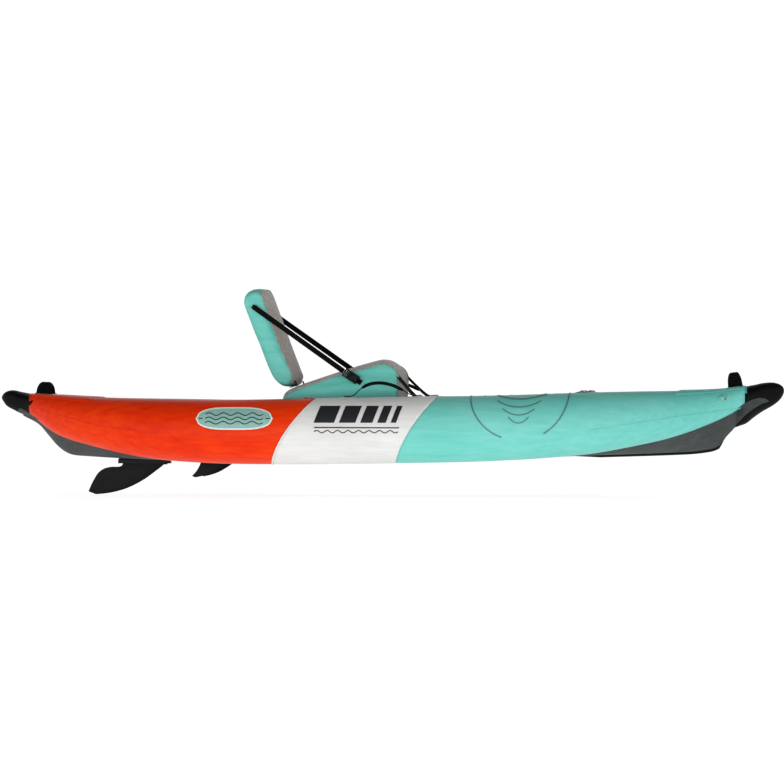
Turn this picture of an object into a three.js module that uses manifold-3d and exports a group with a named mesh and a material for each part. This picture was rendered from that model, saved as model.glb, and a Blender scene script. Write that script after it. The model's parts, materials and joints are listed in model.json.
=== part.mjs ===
// Sit-in inflatable kayak: two curved air tubes in three colour panels, a drop-stitch floor that
// fairs into a stem at each end, moulded nose caps, a strapped inflatable seat with a folding
// backrest, a slide-in centre fin and two fixed side fins.
// Millimetres. +X to the bow, +Y to port, +Z up. Heights are first counted from the lowest point
// of the tubes; the finished group is lowered so that Z = 0 is the empty boat's waterline.
import * as THREE from 'three';
import { mergeVertices } from 'three/addons/utils/BufferGeometryUtils.js';
import Module from 'manifold-3d';

const wasm = await Module();
wasm.setup();

// Driving dimensions -------------------------------------------------------------------------
const LENGTH = 3050;
const BEAM = 960;
const TUBE_DIAMETER = 252;
const FLOOR_THICKNESS = 130;
const DRAFT = 27;
const JOIN_GAP = 0.3;
const TUBE_CLEARANCE = 2;
const SKIN_LIFT = 1.6;

const TUBE_SIDES = 20;
const TUBE_STEP = 115;
const PAD_THICKNESS = 6;
const PAD_MARGIN = 16;

const KEEL_GUARD_WIDTH = 34;
const KEEL_GUARD_THICKNESS = 8;

const DECK_THICKNESS = 2.5;

const SEAT_PEAK = 251;
const SEAT_SIDE_CLEARANCE = 9;
const BACKREST_INSET = 10;
const WEBBING_WIDTH = 25;
const WEBBING_THICKNESS = 2;
const STRAP_STANDOFF = 3;

const FIN_THICKNESS = 9;
const FIN_SLOT_CLEARANCE = 0.5;
const FIN_BOX_LENGTH = 205;
const FIN_BOX_WIDTH = 38;
const FIN_BOX_HEIGHT = 15;
const FIN_BOX_ROOF = 4;
const SIDE_FIN_OFFSET = 120;
const SIDE_FIN_THICKNESS = 6;

const RING_PATCH_RADIUS = 30;
const RING_PATCH_THICKNESS = 3;
const RING_WIRE = 2.5;
const RING_WIDTH = 28;
const VALVE_RADIUS = 22;
const HANDLE_THICKNESS = 5;
const CARRY_HANDLE_THICKNESS = 11;

// Finishes -----------------------------------------------------------------------------------
const finish = (color, roughness, metalness = 0) => (
  new THREE.MeshStandardMaterial({ color, roughness, metalness })
);
const HULL_ORANGE = finish('#e8401a', 0.5);
const HULL_WHITE = finish('#ebebe9', 0.5);
const HULL_TEAL = finish('#7fd3c8', 0.5);
const HULL_GREY = finish('#5b5f5f', 0.6);
const NOSE_BLACK = finish('#101112', 0.55);
const DECK_FOAM = finish('#8c8f90', 0.9);
const SEAT_TEAL = finish('#72cbbd', 0.6);
const WEBBING_BLACK = finish('#121214', 0.85);
const PLASTIC_BLACK = finish('#161618', 0.4);
const FIN_BLACK = finish('#0f1011', 0.4);
const RING_STEEL = finish('#b9bcc0', 0.3, 1);

// Profiles along the hull --------------------------------------------------------------------
const HALF = LENGTH / 2;
const RADIUS = TUBE_DIAMETER / 2;
const SPREAD = BEAM / 2 - RADIUS;
const TUBE_STERN_END = -0.921 * HALF;
const TUBE_BOW_END = 0.902 * HALF;
const PAD_START = -0.59 * HALF;
const PAD_END = 0.63 * HALF;
const KEEL_GUARD_START = 0.446 * HALF;
const KEEL_GUARD_END = 0.847 * HALF;
const BOW_DECK_START = 0.728 * HALF;
const STERN_DECK_START = -0.741 * HALF;

// Each row: place along the half length, and the value there.
const TUBE_RISE = [
  [-0.921, 188], [-0.845, 112], [-0.749, 68], [-0.608, 24], [-0.462, 5], [-0.3, 0],
  [-0.1, 2], [0.256, 12], [0.5, 36], [0.641, 73], [0.738, 110], [0.833, 166], [0.902, 221],
];
const TUBE_RADIUS_SHARE = [
  [-0.921, 0.315], [-0.845, 0.6], [-0.749, 0.742], [-0.608, 0.897], [-0.462, 0.96],
  [-0.1, 1], [0.256, 0.992], [0.5, 0.944], [0.641, 0.817], [0.738, 0.68], [0.833, 0.476],
  [0.902, 0.305],
];
const TUBE_SPREAD_SHARE = [
  [-0.921, 0.118], [-0.845, 0.3], [-0.749, 0.5], [-0.608, 0.705], [-0.462, 0.845],
  [-0.25, 0.97], [0, 1], [0.256, 0.955], [0.5, 0.775], [0.641, 0.605], [0.738, 0.455],
  [0.833, 0.272], [0.902, 0.115],
];
const FLOOR_BOTTOM = [
  [-0.944, 184], [-0.902, 149], [-0.877, 107], [-0.851, 64], [-0.822, 36], [-0.79, 28],
  [-0.59, 15], [-0.3, 12], [0, 14], [0.26, 20], [0.474, 31], [0.738, 44], [0.8, 52],
  [0.836, 68], [0.854, 104], [0.871, 132], [0.89, 168],
];
const FLOOR_KEEL_SHARE = [
  [-0.944, 0.12], [-0.8, 0.3], [-0.6, 0.7], [-0.4, 0.88], [0.4, 0.88], [0.6, 0.66],
  [0.8, 0.3], [0.89, 0.16],
];

// Smooth value of a profile at x: a cubic through the rows, with slopes from their neighbours.
function along(profile, x) {
  const u = x / HALF;
  const last = profile.length - 1;
  const slope = (i) => {
    const before = profile[Math.max(i - 1, 0)];
    const after = profile[Math.min(i + 1, last)];
    return (after[1] - before[1]) / (after[0] - before[0]);
  };
  if (u <= profile[0][0]) return profile[0][1] + slope(0) * (u - profile[0][0]);
  if (u >= profile[last][0]) return profile[last][1] + slope(last) * (u - profile[last][0]);
  const i = profile.findIndex((row) => row[0] > u) - 1;
  const [u0, v0] = profile[i];
  const [u1, v1] = profile[i + 1];
  const step = u1 - u0;
  const t = (u - u0) / step;
  const rise = t * t * (3 - 2 * t);
  const lead = t * (1 - t) * (1 - t);
  const trail = t * t * (t - 1);
  return v0 + (v1 - v0) * rise + step * (slope(i) * lead + slope(i + 1) * trail);
}

const tubeRadius = (x) => RADIUS * along(TUBE_RADIUS_SHARE, x);
const tubeY = (x) => Math.max(SPREAD * along(TUBE_SPREAD_SHARE, x), tubeRadius(x) + JOIN_GAP);
const tubeZ = (x) => along(TUBE_RISE, x) + tubeRadius(x);
const tubeTop = (x) => tubeZ(x) + tubeRadius(x);
const floorBottom = (x) => along(FLOOR_BOTTOM, x);
const floorTop = (x) => Math.min(floorBottom(x) + FLOOR_THICKNESS, tubeZ(x) + 0.2 * tubeRadius(x));

// Solid helpers ------------------------------------------------------------------------------
const point = (x, y, z) => new THREE.Vector3(x, y, z);

function signedVolume(geometry) {
  const at = geometry.getAttribute('position');
  const index = geometry.getIndex();
  const corner = (i) => new THREE.Vector3().fromBufferAttribute(at, index.getX(i));
  let total = 0;
  for (let i = 0; i < index.count; i += 3) {
    total += corner(i).dot(corner(i + 1).cross(corner(i + 2)));
  }
  return total / 6;
}

// Closed skin through rings of equal point count, with a fan to a middle point at each end.
function loft(rings, startPoint, endPoint) {
  const count = rings[0].length;
  const centre = (ring) => ring.reduce((sum, p) => sum.add(p), point(0, 0, 0)).divideScalar(count);
  const points = [...rings.flat(), startPoint ?? centre(rings[0]), endPoint ?? centre(rings.at(-1))];
  const first = rings.length * count;
  const faces = [];
  for (let r = 0; r + 1 < rings.length; r += 1) {
    for (let i = 0; i < count; i += 1) {
      const a = r * count + i;
      const b = r * count + ((i + 1) % count);
      faces.push(a, b, a + count, b, b + count, a + count);
    }
  }
  const lastRing = first - count;
  for (let i = 0; i < count; i += 1) {
    const next = (i + 1) % count;
    faces.push(next, i, first);
    faces.push(lastRing + i, lastRing + next, first + 1);
  }
  const geometry = new THREE.BufferGeometry().setFromPoints(points);
  geometry.setIndex(faces);
  if (signedVolume(geometry) < 0) geometry.setIndex(faces.reverse());
  return geometry;
}

function solid(geometry) {
  const bare = geometry.clone();
  bare.deleteAttribute('normal');
  bare.deleteAttribute('uv');
  const merged = mergeVertices(bare, 1e-4);
  return new wasm.Manifold(new wasm.Mesh({
    numProp: 3,
    vertProperties: new Float32Array(merged.getAttribute('position').array),
    triVerts: new Uint32Array(merged.getIndex().array),
  }));
}

function geometryOf(manifold) {
  const mesh = manifold.getMesh();
  const geometry = new THREE.BufferGeometry();
  geometry.setAttribute('position', new THREE.BufferAttribute(mesh.vertProperties, 3));
  geometry.setIndex(new THREE.BufferAttribute(mesh.triVerts, 1));
  return geometry;
}

// A cut can shave off crumbs where two skins nearly touch: only the main body is kept.
const mainBody = (manifold) => manifold.decompose().reduce(
  (largest, body) => (body.volume() > largest.volume() ? body : largest),
);
const join = (...geometries) => geometryOf(
  geometries.map(solid).reduce((whole, piece) => whole.add(piece)),
);
const cut = (body, ...tools) => geometryOf(mainBody(
  tools.map(solid).reduce((whole, tool) => whole.subtract(tool), solid(body)),
));

const group = new THREE.Group();
group.position.z = -DRAFT;

function place(name, geometry, material) {
  const mesh = new THREE.Mesh(geometry, material);
  mesh.name = name;
  group.add(mesh);
  return mesh;
}

// Evenly stepped values from start to end, both included.
function steps(start, end, spacing) {
  const count = Math.max(1, Math.round(Math.abs(end - start) / spacing));
  return Array.from({ length: count + 1 }, (_, i) => start + ((end - start) * i) / count);
}

// Side tubes ---------------------------------------------------------------------------------
// A seam leans with height: s runs from -1 at the tube's bottom to 1 at its top.
const STERN_SEAM = { x: -0.2315 * HALF, lean: 86, bow: 22 };
const BOW_SEAM = { x: 0.0787 * HALF, lean: 80, bow: 18 };
const SEAM_REACH = 300;
const seamShift = (seam, s) => seam.lean * s + seam.bow * s * s;

function tubeRing(side, x, shiftOf, grow = 0) {
  return Array.from({ length: TUBE_SIDES }, (_, i) => {
    const angle = (i * 2 * Math.PI) / TUBE_SIDES;
    const s = Math.sin(angle);
    const here = x + shiftOf(s);
    const radius = tubeRadius(here) + grow;
    return point(here, side * (tubeY(here) + radius * Math.cos(angle)), tubeZ(here) + radius * s);
  });
}

function tubePanel(side, start, end, startSeam, endSeam) {
  const rings = steps(start, end, TUBE_STEP).map((x) => tubeRing(side, x, (s) => {
    const nearStart = startSeam ? Math.max(0, 1 - (x - start) / SEAM_REACH) : 0;
    const nearEnd = endSeam ? Math.max(0, 1 - (end - x) / SEAM_REACH) : 0;
    const fromStart = startSeam ? nearStart * seamShift(startSeam, s) : 0;
    const fromEnd = endSeam ? nearEnd * seamShift(endSeam, s) : 0;
    return fromStart + fromEnd;
  }));
  return loft(rings);
}

const noShift = () => 0;
const wholeTube = (side, grow) => loft(
  steps(TUBE_STERN_END - grow, TUBE_BOW_END + grow, 60).map((x) => tubeRing(side, x, noShift, grow)),
);
const SIDES = [['port', 1], ['starboard', -1]];
const tubeRooms = SIDES.map(([, side]) => wholeTube(side, TUBE_CLEARANCE));

for (const [label, side] of SIDES) {
  const sternPanel = tubePanel(side, TUBE_STERN_END, STERN_SEAM.x - JOIN_GAP / 2, null, STERN_SEAM);
  const midPanel = tubePanel(
    side, STERN_SEAM.x + JOIN_GAP / 2, BOW_SEAM.x - JOIN_GAP / 2, STERN_SEAM, BOW_SEAM,
  );
  const bowPanel = tubePanel(side, BOW_SEAM.x + JOIN_GAP / 2, TUBE_BOW_END, BOW_SEAM, null);
  place(`${label}_tube_stern`, sternPanel, HULL_ORANGE);
  place(`${label}_tube_mid`, midPanel, HULL_WHITE);
  place(`${label}_tube_bow`, bowPanel, HULL_TEAL);
}

// Drop-stitch floor, faired into the tubes -----------------------------------------------------
const FLOOR_STERN_END = -0.944 * HALF;
const FLOOR_BOW_END = 0.885 * HALF;

function floorRing(x, grow = 0) {
  const outer = tubeY(x) + grow;
  const keel = tubeY(x) * along(FLOOR_KEEL_SHARE, x) + grow;
  const low = floorBottom(x) - grow;
  const chine = Math.max(along(TUBE_RISE, x) + 0.12 * tubeRadius(x), floorBottom(x) + 2) - grow;
  const top = Math.max(floorTop(x), chine + 6) + grow;
  return [
    point(x, keel, low), point(x, outer, chine), point(x, outer, top),
    point(x, -outer, top), point(x, -outer, chine), point(x, -keel, low),
  ];
}
const floorStations = [
  ...steps(FLOOR_STERN_END, -0.79 * HALF, 26).slice(0, -1),
  ...steps(-0.79 * HALF, 0.79 * HALF, 115),
  ...steps(0.79 * HALF, FLOOR_BOW_END, 20).slice(1),
];
const floorBody = loft(floorStations.map((x) => floorRing(x)));
place('hull_floor', cut(floorBody, ...tubeRooms), HULL_GREY);

// The room that the floor takes out of the pieces fitted round it
const floorRoom = loft(floorStations.map((x) => floorRing(x, JOIN_GAP)));

// Foam pad on the floor, inside the cockpit
function padRing(x) {
  const bottom = floorTop(x) + SKIN_LIFT;
  const drop = Math.max(0, tubeZ(x) - bottom);
  const wall = tubeY(x) - Math.sqrt(tubeRadius(x) ** 2 - drop ** 2);
  const half = wall - PAD_MARGIN;
  return [
    point(x, half, bottom), point(x, half, bottom + PAD_THICKNESS),
    point(x, -half, bottom + PAD_THICKNESS), point(x, -half, bottom),
  ];
}
const padTop = (x) => floorTop(x) + SKIN_LIFT + PAD_THICKNESS;
place('deck_pad', loft(steps(PAD_START, PAD_END, 115).map(padRing)), DECK_FOAM);

// Black wear strip under the forward keel
function guardRing(x) {
  const top = floorBottom(x) - 2 * JOIN_GAP;
  const half = KEEL_GUARD_WIDTH / 2;
  const bottom = top - KEEL_GUARD_THICKNESS;
  return [
    point(x, half, top), point(x, half * 0.6, bottom),
    point(x, -half * 0.6, bottom), point(x, -half, top),
  ];
}
const keelGuard = cut(loft(steps(KEEL_GUARD_START, KEEL_GUARD_END, 26).map(guardRing)), floorRoom);
place('keel_guard', keelGuard, NOSE_BLACK);

// Moulded nose caps ----------------------------------------------------------------------------
// Each row: place along the half length, then top and bottom above the tubes' top where they end,
// and half width as a share of the two tubes' there.
const BOW_NOSE = [
  [0.872, -62, -161, 0.2], [0.905, -1, -142, 0.98], [0.925, 6, -118, 0.92], [0.947, 13, -95, 0.77],
  [0.97, 15, -75, 0.58], [0.987, 9, -55, 0.37], [0.996, -1, -36, 0.18],
];
const STERN_NOSE = [
  [-0.924, -2, -85, 0.97], [-0.946, 9, -77, 0.82], [-0.97, 16, -60, 0.6], [-0.987, 11, -45, 0.39],
  [-0.996, 0, -27, 0.19],
];
const NOSE_SIDES = 16;

function noseCap(rows, tubeEnd, tipHeight) {
  const deck = tubeTop(tubeEnd);
  const fullHalf = tubeY(tubeEnd) + tubeRadius(tubeEnd);
  const rings = rows.map(([u, top, bottom, share]) => (
    Array.from({ length: NOSE_SIDES }, (_, i) => {
      const angle = (i * 2 * Math.PI) / NOSE_SIDES;
      const level = Math.sin(angle);
      const narrowing = 0.72 + 0.28 * level;
      const z = deck + (top + bottom) / 2 + ((top - bottom) / 2) * level;
      return point(u * HALF, fullHalf * share * narrowing * Math.cos(angle), z);
    })
  ));
  const tip = point(Math.sign(tubeEnd) * HALF, 0, deck + tipHeight);
  return cut(loft(rings, undefined, tip), floorRoom, ...tubeRooms);
}
place('bow_nose', noseCap(BOW_NOSE, TUBE_BOW_END, -15), NOSE_BLACK);
place('stern_nose', noseCap(STERN_NOSE, TUBE_STERN_END, -13), NOSE_BLACK);

// Deck panels that bridge the two tubes at each end ---------------------------------------------
const chordRise = (x) => Math.max(
  0, (tubeTop(x - TUBE_STEP / 2) + tubeTop(x + TUBE_STEP / 2)) / 2 - tubeTop(x),
);
const deckTop = (x) => tubeTop(x) + chordRise(x) + SKIN_LIFT + DECK_THICKNESS;
function deckRing(x) {
  const top = deckTop(x);
  const half = tubeY(x);
  return [
    point(x, half, top - DECK_THICKNESS), point(x, half, top),
    point(x, -half, top), point(x, -half, top - DECK_THICKNESS),
  ];
}
place('bow_deck', loft(steps(BOW_DECK_START, TUBE_BOW_END, 30).map(deckRing)), HULL_TEAL);
place('stern_deck', loft(steps(STERN_DECK_START, TUBE_STERN_END, 30).map(deckRing)), HULL_ORANGE);

// Grab handle: a wide webbing arch across the boat, on two stitched feet
const GRAB_HALF_SPAN = 40;
const GRAB_FOOT = 44;
function grabHandle(height, footWidth, topWidth) {
  const arch = steps(0, 1, 1 / 12).map((t) => {
    const angle = Math.PI * t;
    const width = footWidth + (topWidth - footWidth) * Math.sin(angle);
    const inner = height - HANDLE_THICKNESS;
    return [
      point(width / 2, -GRAB_HALF_SPAN * Math.cos(angle), height * Math.sin(angle)),
      point(-width / 2, -GRAB_HALF_SPAN * Math.cos(angle), height * Math.sin(angle)),
      point(-width / 2, -(GRAB_HALF_SPAN - HANDLE_THICKNESS) * Math.cos(angle), inner * Math.sin(angle)),
      point(width / 2, -(GRAB_HALF_SPAN - HANDLE_THICKNESS) * Math.cos(angle), inner * Math.sin(angle)),
    ];
  });
  const foot = new THREE.BoxGeometry(footWidth, GRAB_FOOT, 3);
  foot.translate(0, 0, 1.5);
  const lower = new THREE.BoxGeometry(footWidth, 2 * GRAB_HALF_SPAN, 3);
  lower.translate(0, 0, 1.5);
  return join(loft(arch), foot, lower);
}
const GRABS = [
  ['bow_grab_handle', 0.877 * HALF, 54, 54, 32],
  ['stern_grab_handle', -0.886 * HALF, 45, 62, 30],
];
for (const [name, x, height, footWidth, topWidth] of GRABS) {
  const slope = Math.atan2(deckTop(x + 20) - deckTop(x - 20), 40);
  const handle = place(name, grabHandle(height, footWidth, topWidth), WEBBING_BLACK);
  handle.position.set(x, 0, deckTop(x) + 2 * JOIN_GAP);
  handle.rotation.y = -slope;
}

// Fittings welded to the tubes ------------------------------------------------------------------
// A frame on the tube's skin: Z leaves the skin, X runs along the tube.
// The angle is counted from outboard, over the top, to inboard. A flat fitting that reaches along
// a hollow stretch of the tube is lifted until its ends clear the skin.
function onTube(mesh, side, x, angle, lift, reach) {
  const a = THREE.MathUtils.degToRad(angle);
  const surface = (at) => point(
    at, side * (tubeY(at) + tubeRadius(at) * Math.cos(a)), tubeZ(at) + tubeRadius(at) * Math.sin(a),
  );
  const forward = surface(x + 10).sub(surface(x - 10)).normalize();
  const around = point(0, -side * Math.sin(a), Math.cos(a));
  const out = new THREE.Vector3().crossVectors(around, forward).multiplyScalar(side).normalize();
  const across = new THREE.Vector3().crossVectors(out, forward);
  mesh.setRotationFromMatrix(new THREE.Matrix4().makeBasis(forward, across, out));
  const swell = (at) => surface(at).sub(surface(x)).dot(out);
  const clear = Math.max(0, swell(x - reach - TUBE_STEP / 2), swell(x + reach + TUBE_STEP / 2));
  mesh.position.copy(surface(x)).addScaledVector(out, lift + clear);
}

const disc = (radius, height) => {
  const shape = new THREE.CylinderGeometry(radius, radius, height, 18);
  shape.rotateX(Math.PI / 2);
  shape.translate(0, 0, height / 2);
  return shape;
};
const block = (x, y, z) => {
  const shape = new THREE.BoxGeometry(x, y, z);
  shape.translate(0, 0, z / 2);
  return shape;
};

// Round patch with a webbing keeper and a flat-lying ring
function ringPatch() {
  const patch = disc(RING_PATCH_RADIUS, RING_PATCH_THICKNESS);
  const keeper = block(16, RING_WIDTH - 8, RING_WIRE * 2 + 2.4);
  keeper.translate(-RING_WIDTH / 2, 0, RING_PATCH_THICKNESS - 1);
  const wire = new THREE.TorusGeometry(RING_WIDTH / 2, RING_WIRE, 6, 18);
  wire.translate(0, 0, RING_PATCH_THICKNESS + RING_WIRE - 0.7);
  return join(patch, keeper, wire);
}
const SEAT_RING_X = 0.1 * HALF;
const SEAT_RING_ANGLE = 118;
const RING_PATCHES = [
  ['bow_ring', 0.848 * HALF, 20],
  ['deck_ring', 0.5 * HALF, 100],
  ['seat_front_ring', SEAT_RING_X, SEAT_RING_ANGLE],
  ['seat_rear_ring', -0.187 * HALF, 108],
];
const patchGeometry = ringPatch();
for (const [label, side] of SIDES) {
  for (const [name, x, angle] of RING_PATCHES) {
    const patch = place(`${label}_${name}`, patchGeometry, RING_STEEL);
    onTube(patch, side, x, angle, SKIN_LIFT, RING_PATCH_RADIUS);
  }
}

// Inflation valve: flange, body and cap
const valve = () => new THREE.LatheGeometry([
  new THREE.Vector2(0, 0), new THREE.Vector2(VALVE_RADIUS, 0), new THREE.Vector2(VALVE_RADIUS, 3),
  new THREE.Vector2(VALVE_RADIUS * 0.82, 4), new THREE.Vector2(VALVE_RADIUS * 0.8, 9),
  new THREE.Vector2(VALVE_RADIUS * 0.66, 11), new THREE.Vector2(0, 11),
], 24).rotateX(Math.PI / 2);
const TUBE_VALVE_X = -0.56 * HALF;
const TUBE_VALVE_ANGLE = 128;
for (const [label, side] of SIDES) {
  const tubeValve = place(`${label}_tube_valve`, valve(), PLASTIC_BLACK);
  onTube(tubeValve, side, TUBE_VALVE_X, TUBE_VALVE_ANGLE, SKIN_LIFT, VALVE_RADIUS);
}
const floorValve = place('floor_valve', valve(), PLASTIC_BLACK);
const FLOOR_VALVE_X = PAD_START - VALVE_RADIUS - 14;
floorValve.position.set(FLOOR_VALVE_X, 0, floorTop(FLOOR_VALVE_X) + 1.5 * SKIN_LIFT);

// Side carry handle: a padded cord arch along the top of each tube
const CARRY_SPAN = 223;
const CARRY_RISE = 50;
const CARRY_X = 0.003 * HALF;
const CARRY_TAB = [50, 26, 3];
function carryHandle() {
  const arch = steps(0, 1, 1 / 10).map((t) => {
    const angle = Math.PI * t;
    const lean = 0.12 * Math.sin(2 * angle) * CARRY_SPAN;
    const rise = CARRY_RISE * Math.sin(angle) + 1.5;
    return point(-(CARRY_SPAN / 2) * Math.cos(angle) - lean * 0.4, 0, rise);
  });
  const path = new THREE.CatmullRomCurve3(arch);
  const half = CARRY_HANDLE_THICKNESS / 2;
  const section = new THREE.Shape().absarc(0, 0, half, 0, 2 * Math.PI, false);
  const grip = new THREE.ExtrudeGeometry(section, { steps: 20, extrudePath: path, curveSegments: 4 });
  const tabs = [-1, 1].map((end) => {
    const tab = block(...CARRY_TAB);
    tab.translate(end * (CARRY_SPAN / 2 + 10), 0, 0);
    return tab;
  });
  return join(grip, ...tabs);
}
for (const [label, side] of SIDES) {
  const handle = place(`${label}_carry_handle`, carryHandle(), WEBBING_BLACK);
  onTube(handle, side, CARRY_X, 90, SKIN_LIFT, CARRY_SPAN / 2 + CARRY_TAB[0] / 2);
}

// Seat: inflated wedge between the tubes ----------------------------------------------------------
const SEAT_REAR = -0.267 * HALF;
const SEAT_LENGTH = 460;
const SEAT_FRONT = SEAT_REAR + SEAT_LENGTH;
const cockpitHalf = (x) => tubeY(x) - tubeRadius(x);
const seatHalf = Math.min(cockpitHalf(SEAT_REAR), cockpitHalf(SEAT_FRONT)) - SEAT_SIDE_CLEARANCE;
const backrestHalf = seatHalf - BACKREST_INSET;
const seatFloor = Math.max(padTop(SEAT_REAR), padTop(SEAT_FRONT)) + 2 * JOIN_GAP;

function extrudeAcross(outline, width) {
  const shape = new THREE.Shape(outline.map(([x, z]) => new THREE.Vector2(x, z)));
  const geometry = new THREE.ExtrudeGeometry(shape, { depth: width, bevelEnabled: false });
  geometry.rotateX(Math.PI / 2);
  geometry.translate(0, width / 2, 0);
  return geometry;
}
// Rows run from the rear foot up and forward: distance from the front, height above the underside.
const seatRear = [[SEAT_LENGTH - 6, 0], [SEAT_LENGTH, 98], [SEAT_LENGTH - 8, 122], [SEAT_LENGTH - 22, 131]];
const seatTop = [[360, 159], [257, 196], [186, 219], [114, 239], [73, SEAT_PEAK]];
const seatNose = [[54, 248], [37, 237], [16, 217], [3, 198], [0, 176], [8, 129], [17, 0]];
const seatOutline = [...seatRear, ...seatTop, ...seatNose]
  .map(([back, z]) => [SEAT_FRONT - back, seatFloor + z]);
place('seat_base', extrudeAcross(seatOutline, 2 * seatHalf), SEAT_TEAL);

// Backrest: hinged at its lower front edge, leaning back on its straps
const HINGE_X = SEAT_REAR + 89;
const HINGE_Z = seatFloor + 171;
const backrestOutline = [
  [-9, 22], [-62, -27], [-87, -27], [-121, 13], [-138, 50], [-173, 137], [-232, 286],
  [-237, 304], [-233, 325], [-219, 343], [-201, 351], [-154, 351], [-127, 336], [-115, 314],
  [-105, 280], [-81, 222], [-49, 137], [-13, 40],
].map(([x, z]) => [HINGE_X + x, HINGE_Z + z]);
place('backrest', extrudeAcross(backrestOutline, 2 * backrestHalf), SEAT_TEAL);

// Webbing tabs that hinge the backrest to the seat
const TAB_SPACING = 250;
const TAB_WIDTH = 40;
const tabOutline = [
  [-48, -29], [-15, -17], [-13, -13], [-19, 9], [-22, 8], [-18, -11], [-48, -25],
].map(([x, z]) => [HINGE_X + x, HINGE_Z + z]);
for (const [label, side] of SIDES) {
  const tab = place(`${label}_hinge_tab`, extrudeAcross(tabOutline, TAB_WIDTH), WEBBING_BLACK);
  tab.position.y = (side * TAB_SPACING) / 2;
}

// Flat strap between two points, standing on edge
function strap(from, to, width, thickness) {
  const line = to.clone().sub(from);
  const geometry = new THREE.BoxGeometry(line.length(), thickness, width);
  const forward = line.clone().normalize();
  const across = new THREE.Vector3().crossVectors(point(0, 0, 1), forward).normalize();
  const up = new THREE.Vector3().crossVectors(forward, across);
  geometry.applyMatrix4(new THREE.Matrix4().makeBasis(forward, across, up));
  const middle = from.clone().add(to).multiplyScalar(0.5);
  geometry.translate(middle.x, middle.y, middle.z);
  return geometry;
}

// Backrest straps and their buckles, from the backrest's sides to the seat's
const BUCKLE_WIDTH = 34;
const BUCKLE_THICKNESS = 9;
const BUCKLE_GAP = 2;
const strapTop = [HINGE_X - 204, HINGE_Z + 291];
const buckleTop = [SEAT_REAR + 248, seatFloor + 203];
const buckleFoot = [SEAT_REAR + 301, seatFloor + 168];
const strapFoot = [SEAT_REAR + 315, seatFloor + 158];
const strapPlane = seatHalf + STRAP_STANDOFF + WEBBING_THICKNESS / 2;
const backrestPlane = backrestHalf + STRAP_STANDOFF + WEBBING_THICKNESS / 2;
const bucklePlane = strapPlane + BUCKLE_THICKNESS / 4;
for (const [label, side] of SIDES) {
  const at = ([x, z], y) => point(x, side * y, z);
  const upper = strap(
    at(strapTop, backrestPlane), at(buckleTop, strapPlane), WEBBING_WIDTH, WEBBING_THICKNESS,
  );
  place(`${label}_backrest_strap`, upper, WEBBING_BLACK);
  const body = strap(at(buckleTop, bucklePlane), at(buckleFoot, bucklePlane), BUCKLE_WIDTH, BUCKLE_THICKNESS);
  const tail = strap(at(buckleFoot, strapPlane), at(strapFoot, strapPlane), WEBBING_WIDTH, WEBBING_THICKNESS);
  const buckle = place(`${label}_strap_buckle`, join(body, tail), PLASTIC_BLACK);
  const away = at(buckleFoot, 0).sub(at(buckleTop, 0)).setLength(BUCKLE_GAP);
  buckle.position.copy(away);
}

// Front tie-downs, from the seat's front corners to the rings on the tubes
const TIE_INSET = 18;
const TIE_STEP = 8;
const tieTop = [SEAT_FRONT + TIE_STEP, seatFloor + 172];
const tieLift = SKIN_LIFT + RING_PATCH_THICKNESS + 2 * RING_WIRE + WEBBING_WIDTH / 2;
for (const [label, side] of SIDES) {
  const a = THREE.MathUtils.degToRad(SEAT_RING_ANGLE);
  const reach = tubeRadius(SEAT_RING_X) + tieLift;
  const y = tubeY(SEAT_RING_X) + reach * Math.cos(a);
  const foot = point(SEAT_RING_X - 20, side * y, tubeZ(SEAT_RING_X) + reach * Math.sin(a));
  const top = point(tieTop[0], side * (seatHalf - TIE_INSET), tieTop[1]);
  place(`${label}_seat_tie_down`, strap(top, foot, WEBBING_WIDTH, WEBBING_THICKNESS), WEBBING_BLACK);
}

// Fins ----------------------------------------------------------------------------------------
const FIN_BOX_X = -0.63 * HALF;
const FIN_BOX_WALL = 8;
const finBoxTop = Math.min(
  floorBottom(FIN_BOX_X - FIN_BOX_LENGTH / 2), floorBottom(FIN_BOX_X + FIN_BOX_LENGTH / 2),
) - 4 * JOIN_GAP;
const slotWidth = FIN_THICKNESS + 2 * FIN_SLOT_CLEARANCE;
const finBoxBlock = block(FIN_BOX_LENGTH, FIN_BOX_WIDTH, FIN_BOX_HEIGHT);
const finSlot = block(FIN_BOX_LENGTH, slotWidth, FIN_BOX_HEIGHT);
finSlot.translate(-FIN_BOX_WALL, 0, -FIN_BOX_ROOF);
const finBox = place('fin_box', cut(finBoxBlock, finSlot), PLASTIC_BLACK);
finBox.position.set(FIN_BOX_X, 0, finBoxTop - FIN_BOX_HEIGHT);

// Centre fin: a swept blade below a straight base that runs in the box's slot.
// Its outline is counted from the front of its base.
const FIN_BASE_LENGTH = FIN_BOX_LENGTH - FIN_BOX_WALL - 22;
const blade = new THREE.Shape();
blade.moveTo(-FIN_BASE_LENGTH, 0);
blade.lineTo(-FIN_BASE_LENGTH, -13);
blade.quadraticCurveTo(-FIN_BASE_LENGTH - 3, -25, -FIN_BASE_LENGTH - 19, -25);
blade.lineTo(-231, -25);
blade.quadraticCurveTo(-264, -35, -284, -63);
blade.quadraticCurveTo(-304, -95, -312, -121);
blade.quadraticCurveTo(-306, -132, -283, -131);
blade.quadraticCurveTo(-188, -129, -97, -79);
blade.quadraticCurveTo(-48, -47, 0, -6);
blade.lineTo(-2, 0);

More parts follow.
